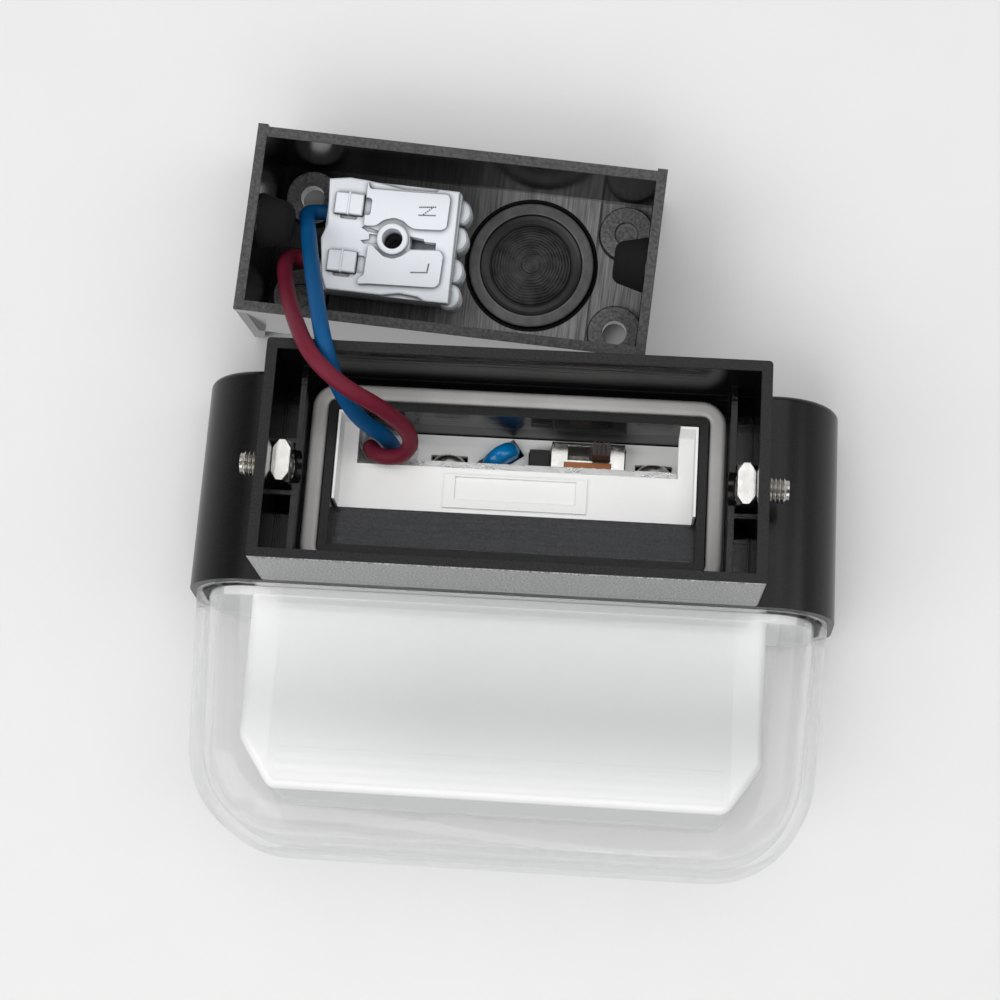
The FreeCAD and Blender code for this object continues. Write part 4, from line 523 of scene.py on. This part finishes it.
def opal_diffuser():
    """Opal plastic, painted paler as highlight and light towards its edges, its top and its left
    side, though not on its front, with ridges along its lower edge.
    """
    finish, tree, shader = new_finish("opal_plastic")
    place = lamp_place(tree)
    x, y, z = split(tree, place)
    # painted highlight along the lower edge, painted light towards the top, the side edges and the
    # left; none on the front
    low = sums(tree, "POWER", spread(tree, y, 1.0, 0.0, *DIFFUSER_LOW_HIGHLIGHT), 1.6)
    high = times(tree, spread(tree, y, 0.0, 1.0, *DIFFUSER_TOP_LIGHT), 0.55)
    edge_highlight = times(tree, sums(tree, "SUBTRACT", 1.0, near(tree, x, 0, DIFFUSER_HALF)), 0.14)
    left_light = spread(tree, x, 0.3, 0.0, *DIFFUSER_LEFT_LIGHT)
    front = sums(tree, "GREATER_THAN", z, DIFFUSER_FRONT)
    share = sums(tree, "ADD", sums(tree, "ADD", low, high), sums(tree, "ADD", edge_highlight, left_light))
    share = times(tree, sums(tree, "MINIMUM", share, 1.0), front)
    tree.links.new(between(tree, share, (0.55, 0.56, 0.565), (0.86, 0.86, 0.86)),
                   shader.inputs["Base Color"])
    shader.inputs["Roughness"].default_value = 0.22
    ridges = times(tree, sums(tree, "SINE", times(tree, y, 2 * math.pi / RIDGE_STEP)),
                   near(tree, y, RIDGE_AT, RIDGE_REACH), near(tree, x, 0, RIDGE_HALF))
    raised(tree, shader, ridges, 0.00006)
    return finish


def metal(name, colour, roughness, stretch=(1, 1, 1), relief=0.000004):
    """Bare metal: slight changes of colour and gloss, fine grain, softened edges."""
    finish, tree, shader = new_finish(name)
    shader.inputs["Metallic"].default_value = 1.0
    place = object_place(tree, stretch)
    broad = noise(tree, place, 400.0)
    dark = [c * 0.8 for c in colour]
    tree.links.new(between(tree, spread(tree, broad, 0, 1), dark, colour),
                   shader.inputs["Base Color"])
    tree.links.new(spread(tree, broad, roughness * 0.8, roughness * 1.3),
                   shader.inputs["Roughness"])
    raised(tree, shader, noise(tree, place, 2500.0, 2.0), relief, 0.0001)
    return finish


# ------------------------------------------------------------------ finishes, by the record's slots
FINISHES = {
    "black_moulding": black_housing(),
    "black_moulding_box": black_box(),
    "clear_polycarbonate": clear_plastic("clear_polycarbonate", (0.98, 0.981, 0.98), 0.03),
    "silicone": moulded("silicone", (0.43, 0.42, 0.41), 0.5, relief=0.00001),
    "opal_plastic": opal_diffuser(),
    "white_plastic": moulded("white_plastic", (0.93, 0.93, 0.92), 0.4, relief=0.000006, shade=0.97),
    "board_aluminium": metal("board_aluminium", (0.98, 0.98, 0.98), 0.3, (0.7, 3, 3), 0.00009),
    "led_yellow": moulded("led_yellow", (0.80, 0.62, 0.15), 0.3),
    "zinc_steel": metal("zinc_steel", (0.56, 0.54, 0.51), 0.28),
    "varistor_blue": moulded("varistor_blue", (0.0, 0.18, 0.46), 0.1, relief=0.00001),
    "black_epoxy": moulded("black_epoxy", (0.02, 0.02, 0.02), 0.5),
    "nickel_steel": metal("nickel_steel", (0.80, 0.79, 0.76), 0.16),
    "phenolic_brown": moulded("phenolic_brown", (0.52, 0.17, 0.04), 0.45),
    "knob_brown": moulded("knob_brown", (0.035, 0.022, 0.018), 0.4),
    "clear_ring": clear_plastic("clear_ring", (0.90, 0.91, 0.92), 0.1, 0.5),
    "black_rubber": black_rubber(),
    "white_nylon": white_nylon(),
    "contact_copper": metal("contact_copper", (0.80, 0.50, 0.30), 0.3),
    "blue_insulation": moulded("blue_insulation", (0.0, 0.076, 0.22), 0.5, relief=0.000006,
                               specular=0.2),
    "burgundy_insulation": moulded("burgundy_insulation", (0.145, 0.010, 0.026), 0.5,
                                   relief=0.000006, specular=0.2),
}


def paint(piece, slot_name):
    piece.data.materials.clear()
    piece.data.materials.append(FINISHES[slot_name])


# ------------------------------------------------------------------ camera, lamps and floor
def make_camera():
    lens = bpy.data.cameras.new("camera")
    lens.lens = CAMERA_LENS
    lens.sensor_width = CAMERA_SENSOR
    lens.clip_start = CAMERA_NEAR
    camera = bpy.data.objects.new("camera", lens)
    camera.location = CAMERA_AT
    camera.rotation_euler = [math.radians(a) for a in CAMERA_TURN]
    bpy.context.scene.collection.objects.link(camera)
    bpy.context.scene.camera = camera


def soft_lamp(name, place, size, watts):
    """A rectangular studio light that points at the middle of the object."""
    light = bpy.data.lights.new(name, "AREA")
    light.shape = "RECTANGLE"
    light.size, light.size_y = size
    light.energy = watts
    lamp = bpy.data.objects.new(name, light)
    lamp.location = place
    lamp.rotation_euler = (-Vector(place)).to_track_quat("-Z", "Y").to_euler()
    bpy.context.scene.collection.objects.link(lamp)


SOFT_LAMPS = (
    # name, place, size, watts
    ("left_softbox", (-0.80, -0.25, 0.95), (0.8, 0.8), 5.0),
    ("low_softbox", (-0.10, -0.80, 0.95), (1.0, 0.6), 4.4),
    ("right_softbox", (0.80, 0.20, 0.95), (0.6, 0.8), 2.7),
    ("far_softbox", (0.05, 0.80, 1.00), (1.0, 0.6), 2.4),
    ("strip_lamp", (0, 0.4045, 1.00), (0.9, 0.024), 0.6),
)


def make_surroundings():
    """Even light, mostly from above, and a pale horizon for gloss and clear plastic to show."""
    world = bpy.data.worlds.new("studio")
    world.use_nodes = True
    tree = world.node_tree
    even = tree.nodes["Background"]
    even.inputs["Color"].default_value = (0.95, 0.95, 0.95, 1)
    ray = tree.nodes.new("ShaderNodeLightPath")
    place = tree.nodes.new("ShaderNodeTexCoord")
    height = split(tree, place.outputs["Generated"])[2]
    tree.links.new(spread(tree, height, 0.15, 0.85, 0.2, 1.0), even.inputs["Strength"])
    horizon = spread(tree, height, 0.85, 0.03, 0.1, 0.7)
    straight = sums(tree, "MAXIMUM", ray.outputs["Is Camera Ray"],
                    ray.outputs["Is Transmission Ray"])
    shown = tree.nodes.new("ShaderNodeBackground")
    tree.links.new(blended(tree, straight, horizon, 0.92), shown.inputs["Strength"])
    seen = sums(tree, "MAXIMUM", straight, ray.outputs["Is Glossy Ray"])
    surface = shaders(tree, seen, even.outputs["Background"], shown.outputs["Background"])
    tree.links.new(surface, tree.nodes["World Output"].inputs["Surface"])
    bpy.context.scene.world = world
    for lamp in SOFT_LAMPS:
        soft_lamp(*lamp)


def floor_paper():
    """Pale paper, which gloss and clear plastic show as bright as it looks from above."""
    finish = moulded("floor_paper", (0.715, 0.715, 0.715), 0.8, edge=0, shade=0.99)
    tree = finish.node_tree
    glow = tree.nodes.new("ShaderNodeEmission")
    glow.inputs["Color"].default_value = (0.8, 0.8, 0.8, 1)
    ray = tree.nodes.new("ShaderNodeLightPath")
    shown = sums(tree, "MAXIMUM", times(tree, ray.outputs["Is Glossy Ray"], 0.85),
                 times(tree, ray.outputs["Is Transmission Ray"], 0.4))
    surface = shaders(tree, shown, tree.nodes["Principled BSDF"].outputs["BSDF"],
                      glow.outputs["Emission"])
    tree.links.new(surface, tree.nodes["Material Output"].inputs["Surface"])
    return finish


def make_floor():
    mesh = bmesh.new()
    bmesh.ops.create_grid(mesh, x_segments=1, y_segments=1, size=3)
    data = bpy.data.meshes.new("floor")
    mesh.to_mesh(data)
    mesh.free()
    floor = bpy.data.objects.new("floor", data)
    bpy.context.scene.collection.objects.link(floor)
    floor.data.materials.append(floor_paper())


bpy.context.scene.view_settings.view_transform = "Standard"
make_camera()
make_surroundings()
make_floor()


# ------------------------------------------------------------------ wires
def route_curve(name, route):
    """The wire's centre line: one smooth spline with the route's points as control points."""
    curve = bpy.data.curves.new(name, "CURVE")
    curve.dimensions = "3D"
    spline = curve.splines.new("NURBS")
    spline.points.add(len(route) - 1)
    for point, place in zip(spline.points, route):
        point.co = (*(Vector(place) + ROUTE_SHIFT), 1)
    spline.order_u = 3
    spline.use_endpoint_u = True
    curve.resolution_u = 10
    return curve


def curve_mesh(curve):
    holder = bpy.data.objects.new("holder", curve)
    bpy.context.scene.collection.objects.link(holder)
    made = bpy.data.meshes.new_from_object(
        holder.evaluated_get(bpy.context.evaluated_depsgraph_get()))
    bpy.data.objects.remove(holder)
    return made


def make_wire(name, node, route, slot_name):
    curve = route_curve(name + "_route", route)
    line = [v.co.copy() for v in curve_mesh(curve).vertices]
    curve.bevel_depth = WIRE_DIAMETER / 2
    curve.bevel_resolution = 5
    curve.use_fill_caps = True
    data = curve_mesh(curve)
    data.name = name
    data.shade_smooth()
    wire = bpy.data.objects.new(name, data)
    bpy.context.scene.collection.objects.link(wire)
    paint(wire, slot_name)
    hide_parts(node)
    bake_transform(wire)


make_wire("blue_lead", "wire_blue", BLUE_ROUTE, "blue_insulation")
make_wire("burgundy_lead", "wire_burgundy", BURGUNDY_ROUTE, "burgundy_insulation")

for subpart in frame["record"]["subparts"]:
    paint(NODES[subpart["node"]], subpart["material_slot"])
paint(NODES["back_box"], "black_moulding_box")


# ------------------------------------------------------------------ pieces in the wall box
def soften(mesh, chosen, width, segments):
    """Rounds the edges that a test picks."""
    bmesh.ops.bevel(mesh, geom=[edge for edge in mesh.edges if chosen(edge)], offset=width,
                    offset_type="OFFSET", segments=segments, profile=0.5, affect="EDGES",
                    material=-1, clamp_overlap=True)


def soften_above(mesh, height, width, segments=2):
    soften(mesh, lambda edge: min(v.co.z for v in edge.verts) > height, width, segments)


def slab(outline, low, high, corner=0.0, edge=0.0):
    """A plate from its outline, with rounded corners and a softened top edge."""
    mesh = bmesh.new()
    bottom = mesh.faces.new([mesh.verts.new((x, y, low)) for x, y in outline])
    lifted = bmesh.ops.extrude_face_region(mesh, geom=[bottom], use_keep_orig=True)["geom"]
    bmesh.ops.translate(mesh, vec=(0, 0, high - low),
                        verts=[v for v in lifted if isinstance(v, bmesh.types.BMVert)])
    bmesh.ops.recalc_face_normals(mesh, faces=mesh.faces[:])
    if corner:
        soften(mesh, lambda e: abs(e.verts[0].co.z - e.verts[1].co.z) > 0.1, corner, 3)
    if edge:
        soften_above(mesh, high - FLAT, edge)
    return mesh


def rectangle(left, right, low, high):
    return [(left, low), (right, low), (right, high), (left, high)]


def bar(radius, middle, length, turn=None):
    """A round bar along Z, or turned, about its middle."""
    mesh = bmesh.new()
    bmesh.ops.create_cone(mesh, cap_ends=True, segments=ROUND_STEPS, radius1=radius,
                          radius2=radius, depth=length,
                          matrix=Matrix.Translation(middle) @ (turn or Matrix()))
    return mesh


def new_object(name, mesh):
    bmesh.ops.recalc_face_normals(mesh, faces=mesh.faces[:])
    data = bpy.data.meshes.new(name)
    mesh.to_mesh(data)
    mesh.free()
    piece = bpy.data.objects.new(name, data)
    bpy.context.scene.collection.objects.link(piece)
    return piece


def carve(piece, tools, operation):
    """Joins closed shapes to a piece, or cuts them out of it."""
    shapes = [new_object("tool", tool) for tool in tools]
    for shape in shapes:
        step = piece.modifiers.new("carve", "BOOLEAN")
        step.operation = operation
        step.solver = "EXACT"
        step.object = shape
    carved = bpy.data.meshes.new_from_object(
        piece.evaluated_get(bpy.context.evaluated_depsgraph_get()))
    piece.modifiers.clear()
    piece.data = carved
    for shape in shapes:
        bpy.data.objects.remove(shape)


def funnel(y):
    """A rounded wire entry that stands half out of the block's side."""
    turns = [2 * math.pi * step / FUNNEL_STEPS for step in range(FUNNEL_STEPS)]
    outline = [(FUNNEL_HALF[0] * math.cos(a), y + FUNNEL_HALF[1] * math.sin(a)) for a in turns]
    return slab(outline, 2 * FUNNEL_Z - FUNNEL_TOP, FUNNEL_TOP, edge=FUNNEL_EDGE)


def block_top():
    """The block's top plate with its raised fields, eye, slot, lever pockets and wire entries."""
    top = new_object("block_top", slab(BLOCK_OUTLINE, *BLOCK_TIER, edge=BLOCK_EDGE))
    eye_low = BLOCK_TIER[1] - 1.0
    eye = bar(EYE_OUTER, (*EYE_AT, (eye_low + EYE_TOP) / 2), EYE_TOP - eye_low)
    soften_above(eye, EYE_TOP - FLAT, EYE_EDGE, 3)
    raised_low = BLOCK_TIER[1] - 0.5
    joined = [slab(field, raised_low, PLATEAU_TOP, PLATEAU_CORNER, BLOCK_EDGE)
              for field in (PLATEAU_N, PLATEAU_L)] + [eye]
    joined += [funnel(y) for y in FUNNEL_Y]
    carve(top, joined, "UNION")

    sideways = Matrix.Rotation(math.pi / 2, 4, "Y")
    over = PLATEAU_TOP + 2
    shallow = BLOCK_TIER[1] - RELIEF
    cuts = [bar(EYE_INNER, (*EYE_AT, FUNNEL_Z), 20), slab(SLOT_OUTLINE, FUNNEL_Z, over)]
    cuts += [bar(FUNNEL_BORE, (0, y, FUNNEL_Z), 7, sideways) for y in FUNNEL_Y]
    cuts += [slab(prong, shallow, over) for prong in KEY_PRONGS]
    for y in LEVER_Y.values():
        low, high = y - LEVER_HALF, y + LEVER_HALF
        cuts.append(slab(rectangle(LEVER_RIGHT - 0.5, LEVER_RIGHT + 1.7, low + 0.2, high - 0.4),
                         shallow, over, 0.6))
        cuts.append(slab(rectangle(LEVER_LEFT + 1.2, LEVER_RIGHT - 1.0, low - 0.9, low + 0.5),
                         shallow, over, 0.4))
        cuts.append(slab(rectangle(LEVER_LEFT - LEVER_PLAY, LEVER_RIGHT + LEVER_PLAY,
                                   low - LEVER_PLAY, high + LEVER_PLAY), POCKET_FLOOR, over))
    carve(top, cuts, "DIFFERENCE")
    return top


def terminal_block():
    """The source's block, cut off under its top and beside its wire entries, with a finer top."""
    mesh = bmesh.new()
    mesh.from_mesh(NODES["terminal_body"].data)
    bmesh.ops.remove_doubles(mesh, verts=mesh.verts[:], dist=0.000002)
    for spot, outward in (((0, 0, BODY_CUT_Z), (0, 0, 1)), ((BODY_CUT_X, 0, 0), (1, 0, 0))):
        normal = (BOX_PLACE.to_3x3() @ Vector(outward)).normalized()
        cut = bmesh.ops.bisect_plane(mesh, geom=mesh.verts[:] + mesh.edges[:] + mesh.faces[:],
                                     plane_co=BOX_PLACE @ Vector(spot), plane_no=normal,
                                     clear_outer=True)["geom_cut"]
        edges = [part for part in cut if isinstance(part, bmesh.types.BMEdge)]
        bmesh.ops.triangle_fill(mesh, edges=edges, use_beauty=True, normal=normal)
    bmesh.ops.recalc_face_normals(mesh, faces=mesh.faces[:])
    top = block_top()
    top.data.transform(BOX_PLACE)
    mesh.from_mesh(top.data)
    bpy.data.objects.remove(top)
    data = bpy.data.meshes.new("terminal_block")
    mesh.to_mesh(data)
    mesh.free()
    block = bpy.data.objects.new("terminal_block", data)
    bpy.context.scene.collection.objects.link(block)
    return block


def lever(y):
    """A push lever: its top falls away to both ends from a rib across its middle."""
    mesh = slab(rectangle(LEVER_LEFT, LEVER_RIGHT, y - LEVER_HALF, y + LEVER_HALF), LEVER_LOW,
                LEVER_TOP)
    middle = (LEVER_LEFT + LEVER_RIGHT) / 2
    bmesh.ops.bisect_plane(mesh, geom=mesh.verts[:] + mesh.edges[:] + mesh.faces[:],
                           plane_co=(middle, 0, 0), plane_no=(1, 0, 0))
    for vert in mesh.verts:
        if vert.co.z > LEVER_TOP - FLAT and abs(vert.co.x - middle) > FLAT:
            vert.co.z -= LEVER_FALL
    soften_above(mesh, LEVER_TOP - 0.5, LEVER_EDGE)
    half = LEVER_HALF + RIB_OVER
    rib = slab(rectangle(middle - RIB_HALF, middle + RIB_HALF, y - half, y + half),
               LEVER_LOW, LEVER_TOP + RIB_RISE, edge=RIB_RISE)
    rib_data = bpy.data.meshes.new("rib")
    rib.to_mesh(rib_data)
    rib.free()
    mesh.from_mesh(rib_data)
    bpy.data.meshes.remove(rib_data)
    return mesh


def in_box(name, mesh, slot_name, body, *replaced):
    """Puts a shape given in the box's frame in its place, with its finish and what carries it."""
    piece = new_object(name, mesh)
    piece.data.transform(BOX_PLACE)
    finish_piece(piece, slot_name, body, *replaced)


def finish_piece(piece, slot_name, body, *replaced):
    paint(piece, slot_name)
    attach(piece, body)
    if replaced:
        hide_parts(*replaced)


def marks():
    """The poles' letters as rows of small raised dots."""
    mesh = bmesh.new()
    for first, last, count in MARK_ROWS:
        for step in range(count):
            at = Vector(first).lerp(Vector(last), step / (count - 1))
            bmesh.ops.create_cone(mesh, cap_ends=True, segments=10, radius1=DOT_RADIUS,
                                  radius2=DOT_RADIUS * DOT_TAPER, depth=DOT_HEIGHT,
                                  matrix=Matrix.Translation((*at, MARK_Z)))
    return mesh


def turned(profile, middle, steps=96):
    """A round piece from its half section."""
    mesh = bmesh.new()
    points = [mesh.verts.new((radius, 0, height)) for radius, height in profile]
    edges = [mesh.edges.new(pair) for pair in zip(points, points[1:])]
    bmesh.ops.spin(mesh, geom=points + edges, cent=(0, 0, 0), axis=(0, 0, 1), angle=2 * math.pi,
                   steps=steps, use_merge=True)
    bmesh.ops.remove_doubles(mesh, verts=mesh.verts[:], dist=0.001)
    bmesh.ops.translate(mesh, vec=(*middle, 0), verts=mesh.verts[:])
    return mesh


finish_piece(terminal_block(), "white_nylon", "wall_box", "terminal_body")
for node, y in LEVER_Y.items():
    in_box("push_" + node[-7:], lever(y), "white_nylon", "lever_" + node[-1], node)
in_box("pole_marks", marks(), "black_epoxy", "wall_box")
in_box("rubber_grommet", turned(GROMMET_PROFILE, GROMMET_AT), "black_rubber", "wall_box",
       "cable_grommet")
